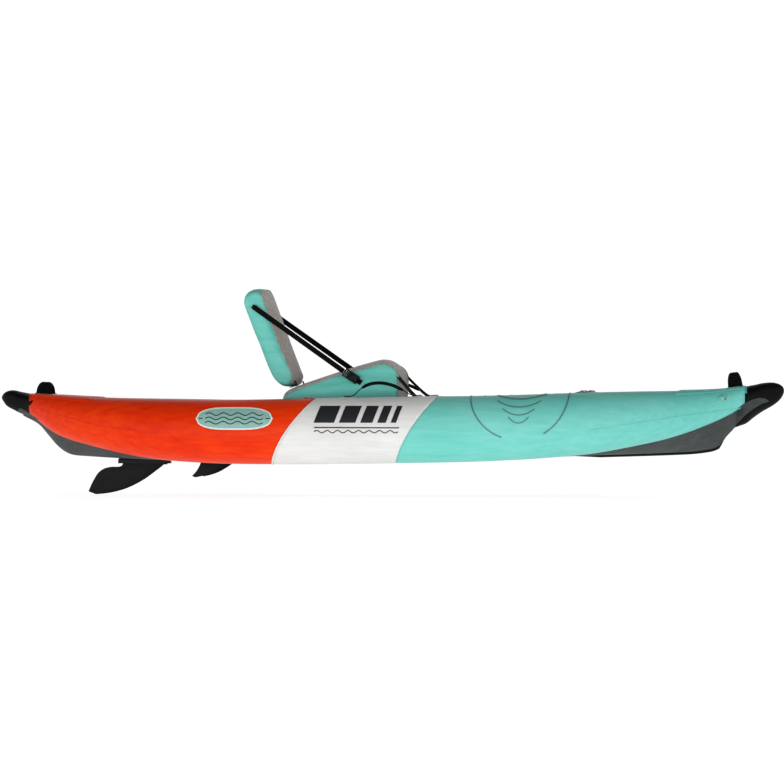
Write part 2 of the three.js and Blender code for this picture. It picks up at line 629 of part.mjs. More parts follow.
function finBlade(outline, thickness) {
  const geometry = new THREE.ExtrudeGeometry(
    outline, { depth: thickness, bevelEnabled: false, curveSegments: 6 },
  );
  geometry.rotateX(Math.PI / 2);
  geometry.translate(0, thickness / 2, 0);
  return geometry;
}
const centreFin = place('centre_fin', finBlade(blade, FIN_THICKNESS), FIN_BLACK);
centreFin.position.set(
  FIN_BOX_X + FIN_BOX_LENGTH / 2 - FIN_BOX_WALL - 5, 0, finBoxTop - FIN_BOX_ROOF - FIN_SLOT_CLEARANCE,
);

// Side fins: small swept blades on glued feet
const SIDE_FIN_X = -0.44 * HALF;
const SIDE_FIN_FOOT = [122, 34, 3];
const sideFinTop = Math.min(
  floorBottom(SIDE_FIN_X - SIDE_FIN_FOOT[0] / 2), floorBottom(SIDE_FIN_X + SIDE_FIN_FOOT[0] / 2),
) - 2 * JOIN_GAP;
const sideBlade = new THREE.Shape();
sideBlade.moveTo(-52, 0);
sideBlade.quadraticCurveTo(-62, -30, -89, -60);
sideBlade.quadraticCurveTo(-86, -67, -76, -66);
sideBlade.quadraticCurveTo(-20, -58, 52, -3);
sideBlade.lineTo(52, 0);
for (const [label, side] of SIDES) {
  const foot = new THREE.BoxGeometry(...SIDE_FIN_FOOT);
  foot.translate(0, 0, -SIDE_FIN_FOOT[2] / 2);
  const sideFin = place(`${label}_side_fin`, join(finBlade(sideBlade, SIDE_FIN_THICKNESS), foot), FIN_BLACK);
  sideFin.position.set(SIDE_FIN_X, side * SIDE_FIN_OFFSET, sideFinTop);
}

export default group;
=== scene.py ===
"""Looks of the inflatable kayak: welded hull skins, moulded nose caps, strapped seat and fins.

Metres, in the part's own frame: +X to the bow, +Y to port, Z = 0 at the empty boat's waterline.
"""
import json
import math

import bmesh
import bpy
from mathutils import Matrix, Vector, noise


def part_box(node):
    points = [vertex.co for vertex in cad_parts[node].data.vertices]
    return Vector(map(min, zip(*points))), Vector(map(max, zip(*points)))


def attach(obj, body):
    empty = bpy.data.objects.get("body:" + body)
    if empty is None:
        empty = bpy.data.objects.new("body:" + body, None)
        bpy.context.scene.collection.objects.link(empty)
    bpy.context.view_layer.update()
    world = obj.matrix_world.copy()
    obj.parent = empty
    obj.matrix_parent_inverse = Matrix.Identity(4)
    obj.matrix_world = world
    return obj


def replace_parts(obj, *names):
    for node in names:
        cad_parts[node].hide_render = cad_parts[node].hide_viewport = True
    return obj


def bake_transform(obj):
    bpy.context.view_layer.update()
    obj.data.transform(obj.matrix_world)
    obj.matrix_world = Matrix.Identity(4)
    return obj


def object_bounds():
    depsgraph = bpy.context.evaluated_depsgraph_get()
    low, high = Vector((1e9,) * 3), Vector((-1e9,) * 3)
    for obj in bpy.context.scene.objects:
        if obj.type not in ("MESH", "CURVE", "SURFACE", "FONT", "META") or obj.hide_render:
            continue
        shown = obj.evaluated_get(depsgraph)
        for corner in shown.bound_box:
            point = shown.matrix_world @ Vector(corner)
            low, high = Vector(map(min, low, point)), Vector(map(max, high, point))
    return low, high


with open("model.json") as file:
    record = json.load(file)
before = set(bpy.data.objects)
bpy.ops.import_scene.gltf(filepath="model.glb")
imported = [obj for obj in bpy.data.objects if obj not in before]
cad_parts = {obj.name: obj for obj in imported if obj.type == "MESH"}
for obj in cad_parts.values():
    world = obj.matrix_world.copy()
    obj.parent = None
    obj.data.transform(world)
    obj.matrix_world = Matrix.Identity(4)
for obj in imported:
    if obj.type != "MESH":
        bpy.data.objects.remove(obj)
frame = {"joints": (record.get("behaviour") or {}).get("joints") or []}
CAD_BOX = [list(corner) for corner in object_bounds()]

# Driving sizes ---------------------------------------------------------------------------------
HALF = (CAD_BOX[1][0] - CAD_BOX[0][0]) / 2
KEEL_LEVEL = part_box("starboard_tube_mid")[0][2]
RADIUS = 0.126
SPREAD = 0.354
FLOOR_THICKNESS = 0.130
SIDES = (("port", 1), ("starboard", -1))

TUBE_STERN_END = -0.921 * HALF
TUBE_BOW_END = 0.902 * HALF
TUBE_SIDES = 72
TUBE_STEP = 0.012
STERN_SEAM = {"x": -0.2315 * HALF, "lean": 0.086, "bow": 0.022}
BOW_SEAM = {"x": 0.0787 * HALF, "lean": 0.080, "bow": 0.018}
SEAM_REACH = 0.30
SEAM_LAP = 0.0008

# Each row: place along the half length, and the value there.
TUBE_RISE = [
    (-0.921, 0.188), (-0.845, 0.112), (-0.749, 0.068), (-0.608, 0.024), (-0.462, 0.005),
    (-0.3, 0.0), (-0.1, 0.002), (0.256, 0.012), (0.5, 0.036), (0.641, 0.073), (0.738, 0.110),
    (0.833, 0.166), (0.902, 0.221),
]
TUBE_RADIUS_SHARE = [
    (-0.921, 0.315), (-0.845, 0.6), (-0.749, 0.742), (-0.608, 0.897), (-0.462, 0.96), (-0.1, 1),
    (0.256, 0.992), (0.5, 0.944), (0.641, 0.817), (0.738, 0.68), (0.833, 0.476), (0.902, 0.305),
]
TUBE_SPREAD_SHARE = [
    (-0.921, 0.118), (-0.845, 0.3), (-0.749, 0.5), (-0.608, 0.705), (-0.462, 0.845),
    (-0.25, 0.97), (0, 1), (0.256, 0.955), (0.5, 0.775), (0.641, 0.605), (0.738, 0.455),
    (0.833, 0.272), (0.902, 0.115),
]
FLOOR_BOTTOM = [
    (-0.944, 0.184), (-0.902, 0.149), (-0.877, 0.107), (-0.851, 0.064), (-0.822, 0.036),
    (-0.79, 0.028), (-0.59, 0.015), (-0.3, 0.012), (0, 0.014), (0.26, 0.020), (0.474, 0.031),
    (0.738, 0.044), (0.8, 0.052), (0.836, 0.068), (0.854, 0.104), (0.871, 0.132), (0.89, 0.168),
]
FLOOR_KEEL_SHARE = [
    (-0.944, 0.12), (-0.8, 0.3), (-0.6, 0.7), (-0.4, 0.88), (0.4, 0.88), (0.6, 0.66),
    (0.8, 0.3), (0.89, 0.16),
]


def along(profile, x):
    """Value of a profile at x: a cubic through the rows, with slopes from their neighbours."""
    u = x / HALF
    last = len(profile) - 1

    def slope(i):
        before, after = profile[max(i - 1, 0)], profile[min(i + 1, last)]
        return (after[1] - before[1]) / (after[0] - before[0])

    if u <= profile[0][0]:
        return profile[0][1] + slope(0) * (u - profile[0][0])
    if u >= profile[last][0]:
        return profile[last][1] + slope(last) * (u - profile[last][0])
    i = next(k for k in range(last) if profile[k + 1][0] > u)
    (u0, v0), (u1, v1) = profile[i], profile[i + 1]
    step = u1 - u0
    t = (u - u0) / step
    rise = t * t * (3 - 2 * t)
    lead = t * (1 - t) * (1 - t)
    trail = t * t * (t - 1)
    return v0 + (v1 - v0) * rise + step * (slope(i) * lead + slope(i + 1) * trail)


def tube_radius(x):
    return RADIUS * along(TUBE_RADIUS_SHARE, x)


def tube_y(x):
    return SPREAD * along(TUBE_SPREAD_SHARE, x)


def tube_z(x):
    return KEEL_LEVEL + along(TUBE_RISE, x) + tube_radius(x)


def floor_bottom(x):
    return KEEL_LEVEL + along(FLOOR_BOTTOM, x)


def floor_top(x):
    return min(floor_bottom(x) + FLOOR_THICKNESS, tube_z(x) + 0.2 * tube_radius(x))


def on_tube(side, x, angle, lift=0.0):
    """Point on a side tube: angle in degrees from outboard, over the top, to inboard."""
    a = math.radians(angle)
    reach = tube_radius(x) + lift
    return Vector((x, side * (tube_y(x) + reach * math.cos(a)), tube_z(x) + reach * math.sin(a)))


# Materials -------------------------------------------------------------------------------------
MM = 0.001
WAVE_RADIANS = 20


def srgb(code):
    """Hex colour to linear RGBA."""
    parts = [int(code[i:i + 2], 16) / 255 for i in (1, 3, 5)]
    linear = [p / 12.92 if p <= 0.04045 else ((p + 0.055) / 1.055) ** 2.4 for p in parts]
    return (*linear, 1.0)


def add(tree, kind, inputs=None, **settings):
    """Adds a node: settings are its own properties, inputs are values or sockets to link."""
    node = tree.nodes.new(kind)
    for key, value in settings.items():
        setattr(node, key, value)
    for key, value in (inputs or {}).items():
        if isinstance(value, bpy.types.NodeSocket):
            tree.links.new(value, node.inputs[key])
        else:
            node.inputs[key].default_value = value
    return node


def blank(name):
    made = bpy.data.materials.new(name)
    made.use_nodes = True
    made.node_tree.nodes.clear()
    return made, made.node_tree


def finish_with(tree, inputs):
    shader = add(tree, "ShaderNodeBsdfPrincipled", inputs)
    add(tree, "ShaderNodeOutputMaterial", {"Surface": shader.outputs[0]})


def ramp(tree, fac, stops):
    """Colour ramp from (place, hex colour) stops."""
    node = add(tree, "ShaderNodeValToRGB", {"Fac": fac})
    while len(node.color_ramp.elements) < len(stops):
        node.color_ramp.elements.new(0.5)
    for element, (place, code) in zip(node.color_ramp.elements, stops):
        element.position = place
        element.color = srgb(code)
    return node.outputs["Color"]


def on_object(tree):
    return add(tree, "ShaderNodeTexCoord").outputs["Object"]


def stretch(tree, place, scale):
    return add(tree, "ShaderNodeMapping", {"Vector": place, "Scale": scale}).outputs[0]


def clouds(tree, place, scale, detail, roughness=0.5):
    return add(tree, "ShaderNodeTexNoise", {
        "Vector": place, "Scale": scale, "Detail": detail, "Roughness": roughness}).outputs["Fac"]


def bands(tree, place, radian, axis, **inputs):
    """Bands along an axis: radian is 1/6.28 of their pitch, in metres."""
    return add(tree, "ShaderNodeTexWave", {
        "Vector": place, "Scale": 1 / (radian * WAVE_RADIANS), **inputs},
        bands_direction=axis).outputs["Fac"]


def combined(tree, operation, one, two):
    return add(tree, "ShaderNodeMath", {0: one, 1: two}, operation=operation).outputs[0]


def mixed(tree, share, one, two):
    return add(tree, "ShaderNodeMix", {0: share, 2: one, 3: two}, data_type="FLOAT").outputs[0]


def between(tree, value, low, high):
    return add(tree, "ShaderNodeMapRange", {
        "Value": value, "To Min": low, "To Max": high}).outputs[0]


def bump(tree, height, strength, distance, under=None):
    """Bump of a height map, laid over another bump if one is given."""
    inputs = {"Height": height, "Strength": strength, "Distance": distance}
    if under is not None:
        inputs["Normal"] = under
    return add(tree, "ShaderNodeBump", inputs).outputs[0]


def coated_fabric(name, deep, body, light, roughness=0.42):
    """Hull skin: PVC coated on a polyester scrim. Satin, with a faint open grid showing through,
    long faint stretch marks along the tube and slow changes of tone from handling."""
    made, tree = blank(name)
    place = on_object(tree)
    marks = clouds(tree, stretch(tree, place, (1.6, 14.0, 14.0)), 4.0, 5.0, 0.62)
    tone = clouds(tree, place, 3.2, 3.0)
    colour = ramp(tree, mixed(tree, 0.45, marks, tone), [(0.32, deep), (0.5, body), (0.68, light)])
    # One radian is 3 mm, so the grid's lines lie about 19 mm apart
    grid = [bands(tree, place, 3.0 * MM, axis, Distortion=0.4) for axis in "XZ"]
    fine = bump(tree, combined(tree, "MAXIMUM", *grid), 0.10, 0.15 * MM)
    finish_with(tree, {
        "Base Color": colour, "Roughness": between(tree, tone, roughness - 0.07, roughness + 0.09),
        "Normal": bump(tree, marks, 0.3, 0.9 * MM, fine), "IOR": 1.52, "Specular IOR Level": 0.18})
    return made


def moulded_black(name, body="#040405", light="#0a0a0b", grain=0.9, roughness=0.5, depth=0.12):
    """Moulded rubber or plastic: near black, with a fine cast-in grain that breaks up the gloss."""
    made, tree = blank(name)
    place = on_object(tree)
    grains = add(tree, "ShaderNodeTexVoronoi", {"Vector": place, "Scale": 1 / (grain * MM)})
    scuffs = clouds(tree, place, 38.0, 6.0, 0.7)
    finish_with(tree, {
        "Base Color": ramp(tree, scuffs, [(0.38, body), (0.72, light)]),
        "Roughness": between(tree, scuffs, roughness - 0.1, roughness + 0.12),
        "Normal": bump(tree, grains.outputs["Distance"], 0.35, depth * MM),
        "IOR": 1.5, "Specular IOR Level": 0.2})
    return made


def woven_webbing(name):
    """Flat polyester webbing: bold ribs across the strap, each split by bands along it."""
    made, tree = blank(name)
    place = add(tree, "ShaderNodeTexCoord").outputs["UV"]
    ribs = bands(tree, place, 1.8 * MM, "X", Distortion=0.6, Detail=1.0)
    warps = bands(tree, place, 1.3 * MM, "Y", Distortion=0.4, Detail=1.0)
    weave = combined(tree, "MULTIPLY", ribs, warps)
    fibre = combined(tree, "MULTIPLY", weave, clouds(tree, place, 900.0, 3.0))
    finish_with(tree, {
        "Base Color": ramp(tree, fibre, [(0.0, "#040405"), (0.35, "#0a0a0b"), (0.8, "#151617")]),
        "Roughness": 0.82, "Normal": bump(tree, weave, 0.6, 0.4 * MM), "Sheen Weight": 0.08,
        "Sheen Roughness": 0.5, "IOR": 1.5, "Specular IOR Level": 0.2})
    return made


def heather_fabric(name):
    """Seat face: a heathered grey knit, light and dark yarns mixed, soft and matt."""
    made, tree = blank(name)
    place = on_object(tree)
    yarn = clouds(tree, place, 1 / (3.2 * MM), 2.0, 0.7)
    slubs = clouds(tree, stretch(tree, place, (60.0, 60.0, 16.0)), 2.4, 3.0)
    colour = ramp(tree, mixed(tree, 0.45, yarn, slubs), [
        (0.36, "#7d7873"), (0.5, "#a8a39d"), (0.62, "#c6c1ba")])
    finish_with(tree, {
        "Base Color": colour, "Roughness": 0.88, "Normal": bump(tree, yarn, 0.5, 0.5 * MM),
        "Sheen Weight": 0.3, "Sheen Roughness": 0.45, "IOR": 1.48})
    return made


def deck_foam(name):
    """Closed-cell foam deck pad: brushed face with machined grooves every 64 mm on a diamond."""
    made, tree = blank(name)
    place = on_object(tree)
    half_pitch = 0.032
    turned = add(tree, "ShaderNodeMapping", {
        "Vector": place, "Rotation": (0.0, 0.0, math.radians(45)),
        "Scale": (1 / half_pitch, 1 / half_pitch, 1)})
    split = add(tree, "ShaderNodeSeparateXYZ", {"Vector": turned.outputs[0]})
    lines = [add(tree, "ShaderNodeMapRange", {
        "Value": combined(tree, "PINGPONG", split.outputs[axis], 1.0),
        "From Min": 0.0, "From Max": 0.07}).outputs[0] for axis in ("X", "Y")]
    groove_and_painted_shade = combined(tree, "MINIMUM", *lines)
    base = ramp(tree, clouds(tree, place, 5.0, 3.0), [(0.35, "#7f8384"), (0.65, "#979b9b")])
    # The grooves are painted dark grey: painted shade in the recesses, on top of their carved bump
    colour = add(tree, "ShaderNodeMix", {0: groove_and_painted_shade, 6: srgb("#4c4f50"), 7: base}, data_type="RGBA")
    carved = bump(tree, groove_and_painted_shade, 0.8, 1.5 * MM)
    finish_with(tree, {
        "Base Color": colour.outputs[2], "Roughness": 0.92, "Specular IOR Level": 0.25,
        "Normal": bump(tree, clouds(tree, place, 700.0, 3.0), 0.3, 0.3 * MM, carved)})
    return made


def polished_wire(name):
    """Drawn stainless wire, tumbled bright, with fine draw marks."""
    made, tree = blank(name)
    marks = clouds(tree, on_object(tree), 420.0, 4.0)
    finish_with(tree, {
        "Base Color": ramp(tree, marks, [(0.3, "#a6a9ab"), (0.7, "#cfd1d2")]),
        "Roughness": between(tree, marks, 0.18, 0.34), "Metallic": 1.0})
    return made


def printed_ink(name, code):
    """Screen-printed ink on the coated fabric: thin, a touch duller than the skin."""
    made, tree = blank(name)
    wear = clouds(tree, on_object(tree), 55.0, 5.0)
    tone = add(tree, "ShaderNodeHueSaturation", {
        "Color": srgb(code), "Value": between(tree, wear, 0.85, 1.15)})
    finish_with(tree, {
        "Base Color": tone.outputs[0], "Roughness": between(tree, wear, 0.42, 0.6)})
    return made


# Finishes: a material and the slot it fills
ORANGE = (coated_fabric("pvc_coated_fabric_orange", "#d62b03", "#e43c04", "#ee4a07"), "hull_orange")
WHITE = (coated_fabric("pvc_coated_fabric_white", "#d2d2d0", "#dcdcda", "#e4e4e2"), "hull_white")
TEAL = (coated_fabric("pvc_coated_fabric_teal", "#6ac4b8", "#79cbc1", "#88d2c9"), "hull_teal")
GREY = (coated_fabric("pvc_coated_fabric_grey", "#3e4242", "#4a4e4e", "#565a5a", 0.55), "hull_grey")
SEAT_SIDE = (coated_fabric("pvc_coated_fabric_seat_teal", "#64c1b4", "#77cbc0", "#88d4ca", 0.5),
             "seat_teal")
SEAT_FACE = (heather_fabric("heathered_grey_knit"), "seat_teal")
RUBBER = (moulded_black("moulded_black_rubber", roughness=0.58), "nose_black")
CLIP = (moulded_black("acetal_black_moulded", "#070708", "#0f1011", 0.6, 0.36, 0.05), "clip_black")
FIN = (moulded_black("glass_filled_nylon_black", "#030304", "#070708", 1.2, 0.42, 0.06),
       "fin_black")
FIN_FAIRING = (CLIP[0], "fin_black")
WEBBING = (woven_webbing("polyester_webbing_black"), "webbing_black")
FOAM = (deck_foam("brushed_closed_cell_foam"), "deck_foam")
STEEL = (polished_wire("stainless_steel_wire"), "ring_steel")
THREAD = (woven_webbing("bonded_polyester_thread"), "webbing_black")
INK_DARK = (printed_ink("screen_ink_charcoal", "#23262a"), "hull_white")
INK_SLATE = (printed_ink("screen_ink_slate", "#5c7f80"), "hull_teal")
INK_PALE = (printed_ink("screen_ink_pale", "#d7ebe8"), "hull_white")
INK_AQUA = (printed_ink("screen_ink_aqua", "#93bcb4"), "hull_white")


# Mesh helpers ----------------------------------------------------------------------------------
def shown(name, mesh, finish, body):
    """Puts a mesh in the scene. Its name gains _skin where a CAD node already has it."""
    material, slot = finish
    mesh.materials.append(material)
    mesh.polygons.foreach_set("use_smooth", [True] * len(mesh.polygons))
    made = bpy.data.objects.new(f"{name}_skin" if name in bpy.data.objects else name, mesh)
    bpy.context.scene.collection.objects.link(made)
    if body:
        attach(made, body)
    return made


def piece(name, points, faces, finish, body="hull", uvs=None):
    """A mesh object riding on a body. uvs, if given, has one (u, v) in metres for each point."""
    mesh = bpy.data.meshes.new(name)
    mesh.from_pydata([tuple(p) for p in points], [], faces)
    if uvs:
        layer = mesh.uv_layers.new(name="cloth")
        for loop in mesh.loops:
            layer.data[loop.index].uv = uvs[loop.vertex_index]
    work = bmesh.new()
    work.from_mesh(mesh)
    bmesh.ops.recalc_face_normals(work, faces=work.faces)
    work.to_mesh(mesh)
    work.free()
    return shown(name, mesh, finish, body)


def loft(rings, closed_ends=True, closed_rings=True):
    """Points and faces of a skin through rings of equal point count."""
    count = len(rings[0])
    points = [p for ring in rings for p in ring]
    faces = []
    for r in range(len(rings) - 1):
        for i in range(count if closed_rings else count - 1):
            a, b = r * count + i, r * count + (i + 1) % count
            faces.append((a, b, b + count, a + count))
    if closed_ends:
        for base in (0, (len(rings) - 1) * count):
            middle = sum((Vector(points[base + i]) for i in range(count)), Vector()) / count
            points.append(middle)
            faces += [(base + i, base + (i + 1) % count, len(points) - 1) for i in range(count)]
    return points, faces


def lofted(name, rings, finish, body="hull", closed=True):
    points, faces = loft(rings, closed_ends=closed, closed_rings=closed)
    return piece(name, points, faces, finish, body)


def spaced(start, end, step):
    count = max(1, round(abs(end - start) / step))
    return [start + (end - start) * i / count for i in range(count + 1)]


def spline_point(before, start, end, after, t):
    """Point at t on a smooth curve from start to end, its slopes set by the points around them."""
    leaving, arriving = (end - before) * 0.5, (after - start) * 0.5
    return (start * (2 * t**3 - 3 * t**2 + 1) + leaving * (t**3 - 2 * t**2 + t)
            + end * (3 * t**2 - 2 * t**3) + arriving * (t**3 - t**2))


def closed_curve(points, counts):
    """Closed smooth line through the points, each stretch cut into its own count of steps."""
    out = []
    for i, pieces in enumerate(counts):
        around = [points[(i + k) % len(points)] for k in (-1, 0, 1, 2)]
        out += [spline_point(*around, k / pieces) for k in range(pieces)]
    return out


# Side tubes ------------------------------------------------------------------------------------
def seam_shift(seam, s):
    return seam["lean"] * s + seam["bow"] * s * s


def tube_lift(x, s, seam_distance):
    """Small rise and fall of the inflated skin: slack near a welded seam, tight elsewhere."""
    pucker = math.exp(-(seam_distance / 0.02) ** 2)
    ripple = 0.0004 * math.sin(s * 34) * pucker - 0.0006 * pucker
    return ripple + 0.0007 * noise.noise((x * 3.1, s * 2.3, 4.7))


def tube_panel(name, side, start, end, start_seam, end_seam, finish, lap):
    rings = []
    for x in spaced(start, end, TUBE_STEP):
        ring = []
        for i in range(TUBE_SIDES):
            angle = 360 * i / TUBE_SIDES
            s = math.sin(math.radians(angle))
            here = x
            nearest = 1.0
            if start_seam:
                here += max(0.0, 1 - (x - start) / SEAM_REACH) * seam_shift(start_seam, s)
                nearest = min(nearest, x - start)
            if end_seam:
                here += max(0.0, 1 - (end - x) / SEAM_REACH) * seam_shift(end_seam, s)
                nearest = min(nearest, end - x)
            ring.append(on_tube(side, here, angle, lap + tube_lift(here, s, nearest)))
        rings.append(ring)
    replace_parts(lofted(name, rings, finish), name)


for label, side in SIDES:
    tube_panel(f"{label}_tube_stern", side, TUBE_STERN_END, STERN_SEAM["x"], None, STERN_SEAM,
               ORANGE, 0.0)
    tube_panel(f"{label}_tube_mid", side, STERN_SEAM["x"], BOW_SEAM["x"], STERN_SEAM, BOW_SEAM,
               WHITE, SEAM_LAP)
    tube_panel(f"{label}_tube_bow", side, BOW_SEAM["x"], TUBE_BOW_END, BOW_SEAM, None,
               TEAL, 0.0)

# Floor and fairings ----------------------------------------------------------------------------
FLOOR_STERN_END = -0.944 * HALF
FLOOR_BOW_END = 0.885 * HALF


def floor_chine(x):
    """Height where the floor's fairing meets the tube."""
    return max(KEEL_LEVEL + along(TUBE_RISE, x) + 0.12 * tube_radius(x), floor_bottom(x) + 0.002)


def floor_ring(x):
    """Keel flat, fairing up into the tube, and the floor's top inside the cockpit."""
    outer, low = tube_y(x), floor_bottom(x)
    keel = outer * along(FLOOR_KEEL_SHARE, x)
    chine = floor_chine(x)
    top = max(floor_top(x), chine + 0.006)
    half = [(keel * t, low) for t in spaced(0, 1, 1 / 8)]
    for t in spaced(0, 1, 1 / 10)[1:]:
        belly = 0.006 * math.sin(math.pi * t)
        half.append((keel + (outer - keel) * t, low + (chine - low) * t - belly))
    half.append((outer, (chine + top) / 2))
    half += [(outer * t, top) for t in spaced(1, 0, 1 / 12)]
    ring = [Vector((x, y, z)) for y, z in half]
    ring += [Vector((x, -y, z)) for y, z in reversed(half[1:-1])]
    return ring


floor_rings = [floor_ring(x) for x in spaced(FLOOR_STERN_END, FLOOR_BOW_END, TUBE_STEP)]
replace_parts(lofted("hull_floor", floor_rings, GREY), "hull_floor")

# Foam pad: two panels with rounded corners and a bevelled rim
PAD_START, PAD_END = -0.900, 0.960
PAD_MARGIN, PAD_THICKNESS = 0.016, 0.006
PAD_LIFT = 0.0016


def pad_half(x):
    drop = max(0.0, tube_z(x) - floor_top(x) - PAD_LIFT)
    return tube_y(x) - math.sqrt(tube_radius(x) ** 2 - drop ** 2) - PAD_MARGIN


def pad_panel(name, start, end):
    corner = 0.045
    rings = []
    for x in spaced(start, end, 0.008):
        ends = min(x - start, end - x)
        inset = corner - math.sqrt(max(0.0, corner**2 - (corner - min(ends, corner)) ** 2))
        half = max(pad_half(x) - inset, 0.02)
        low = floor_top(x) + PAD_LIFT * 0.3
        high = floor_top(x) + PAD_LIFT + PAD_THICKNESS
        bevel = 0.0025
        section = [(half, low), (half, high - bevel), (half - bevel, high)]
        section += [(half * k / 6, high) for k in range(5, -6, -1)]
        section += [(-half + bevel, high), (-half, high - bevel), (-half, low)]
        rings.append([Vector((x, y, z)) for y, z in section])
    made = lofted(name, rings, FOAM)
    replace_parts(made, "deck_pad")


pad_panel("deck_pad_aft", PAD_START, -0.012)
pad_panel("deck_pad_forward", 0.012, PAD_END)

# Sweeps and small fittings ---------------------------------------------------------------------
def circle(radius, count=12):
    turn = 2 * math.pi / count
    return [(radius * math.cos(turn * i), radius * math.sin(turn * i)) for i in range(count)]


def band(width, thickness):
    """Section of flat webbing with round selvedges."""
    half = thickness / 2
    flat = width / 2 - half
    right = [(flat + half * math.cos(a), half * math.sin(a))
             for a in (math.radians(d) for d in range(-90, 91, 45))]
    top = [(flat * t, half) for t in (0.5, 0.0, -0.5)]
    return right + top + [(-s, -h) for s, h in right + top]


def sweep(path, section, up, closed=False, grow=None):
    """Points, faces and UVs in metres of a section drawn along a path, its height towards up."""
    rings, uvs, run = [], [], 0.0
    last = len(path) - 1
    for i, here in enumerate(path):
        before = path[i - 1] if i or closed else here
        after = path[(i + 1) % len(path)] if i < last or closed else here
        forward = (after - before).normalized()
        raised = up[i] if isinstance(up, list) else up
        sideways = forward.cross(raised).normalized()
        height = sideways.cross(forward)
        size = grow(i / last) if grow else (1.0, 1.0)
        rings.append([here + sideways * s * size[0] + height * h * size[1] for s, h in section])
        run += (here - path[i - 1]).length if i else 0.0
        uvs += [(run, s) for s, h in section]
    if closed:
        rings.append(rings[0])
        uvs += [(run, s) for s, h in section]
    points, faces = loft(rings, closed_ends=not closed)
    if not closed:
        uvs += [(0.0, 0.0), (run, 0.0)]
    return points, faces, uvs


def swept(name, path, section, up, finish, body="hull", closed=False, grow=None):
    points, faces, uvs = sweep(path, section, up, closed, grow)
    return piece(name, points, faces, finish, body, uvs)


def curve_through(points, step):
    """Open smooth line through the points, resampled about every step."""
    ends = [points[0] * 2 - points[1]] + list(points) + [points[-1] * 2 - points[-2]]
    out = []
    for i in range(1, len(ends) - 2):
        around = ends[i - 1:i + 3]
        count = max(1, round((around[2] - around[1]).length / step))
        out += [spline_point(*around, k / count) for k in range(count)]
    return out + [ends[-2]]


def headings(path):
    """Direction of an open path at each of its points."""
    last = len(path) - 1
    return [(path[min(i + 1, last)] - path[max(i - 1, 0)]).normalized() for i in range(last + 1)]


def blocks(name, parts, place, finish, body="hull"):
    """One moulding of rounded blocks: each part is (centre, size, edge radius)."""
    work = bmesh.new()
    for centre, size, radius in parts:
        made = bmesh.ops.create_cube(work, size=1.0)
        bmesh.ops.scale(work, vec=size, verts=made["verts"])
        edges = list({edge for vert in made["verts"] for edge in vert.link_edges})
        rounding = bmesh.ops.bevel(work, geom=edges, offset=radius, segments=3, profile=0.5,
                                   affect="EDGES")
        verts = list({vert for face in rounding["faces"] for vert in face.verts})
        bmesh.ops.translate(work, vec=centre, verts=verts)
    bmesh.ops.transform(work, matrix=place, verts=work.verts)
    mesh = bpy.data.meshes.new(name)
    work.to_mesh(mesh)
    work.free()
    return shown(name, mesh, finish, body)


def stitches(name, rows, normal, body="hull"):
    """Lock stitches along each row of points: short raised threads lying on the cloth."""
    length, gap, thread = 0.0036, 0.0022, 0.0007
    points, faces = [], []
    for row in rows:
        for start, end in zip(row, row[1:]):
            span = (end - start).length
            forward = (end - start).normalized()
            across = forward.cross(normal).normalized()
            for k in range(int(span / (length + gap))):
                middle = start + forward * ((k + 0.5) * (length + gap))
                base = len(points)
                for u, w in ((-0.5, 0.0), (-0.3, 1.0), (0.3, 1.0), (0.5, 0.0)):
                    spot = middle + forward * length * u
                    points += [spot + across * thread * w, spot + normal * thread * (0.3 + w),
                               spot - across * thread * w, spot - normal * thread * 0.3]
                for r in range(3):
                    for i in range(4):
                        a, b = base + r * 4 + i, base + r * 4 + (i + 1) % 4
                        faces.append((a, b, b + 4, a + 4))
    return piece(name, points, faces, THREAD, body)


def stitch_box(origin, along_vec, across_vec, length, width):
    """Rows of a box-and-cross stitch pattern on the end of a strap."""
    inset = 0.003
    u, v = along_vec.normalized(), across_vec.normalized()
    corners = [origin + u * a + v * b for a, b in (
        (inset, width / 2 - inset), (length - inset, width / 2 - inset),
        (length - inset, inset - width / 2), (inset, inset - width / 2))]
    return [corners + corners[:1], [corners[0], corners[2]], [corners[1], corners[3]]]


def tube_frame(side, x, angle, lift=0.0):
    """Frame on a tube's skin: X along the tube, Z off the skin."""
    forward = (on_tube(side, x + 0.01, angle) - on_tube(side, x - 0.01, angle)).normalized()
    around = on_tube(side, x, angle + 1) - on_tube(side, x, angle - 1)
    out = (around.cross(forward) * side).normalized()
    across = out.cross(forward)
    place = Matrix((forward, across, out)).transposed().to_4x4()
    place.translation = on_tube(side, x, angle) + out * lift
    return place


def turned(place, x, y, z):
    """A direction given in a frame's own axes."""
    return place.to_3x3() @ Vector((x, y, z))


def tube_patch(name, side, x, angle, outline, lift, finish):
    """Welded patch lying on the tube: outline is closed, (along, around) in metres."""
    rings, rim = 5, 0.0012
    points, faces = [], []

    def skin(u, v, height):
        here = x + u
        return on_tube(side, here, angle + math.degrees(v / tube_radius(here)), height)

    for k in range(rings, 0, -1):
        height = lift if k < rings else lift - rim * 0.6
        points += [skin(u * k / rings, v * k / rings, height) for u, v in outline]
    points.append(skin(0, 0, lift))
    points += [skin(u * 1.006, v * 1.006, lift - rim) for u, v in outline]
    count = len(outline)
    for k in range(rings - 1):
        for i in range(count):
            a, b = k * count + i, k * count + (i + 1) % count
            faces.append((a, b, b + count, a + count))
    middle = rings * count
    for i in range(count):
        faces.append(((rings - 1) * count + i, (rings - 1) * count + (i + 1) % count, middle))
        faces.append((middle + 1 + i, middle + 1 + (i + 1) % count, (i + 1) % count, i))
    return piece(name, points, faces, finish)


def round_outline(half_u, half_v, power=2.0, count=48):
    """Closed outline from a circle (power 2) to a rounded rectangle (power 4 and over)."""
    out = []
    for i in range(count):
        a = 2 * math.pi * i / count
        c, s = math.cos(a), math.sin(a)
        out.append((half_u * math.copysign(abs(c) ** (2 / power), c),
                    half_v * math.copysign(abs(s) ** (2 / power), s)))
    return out


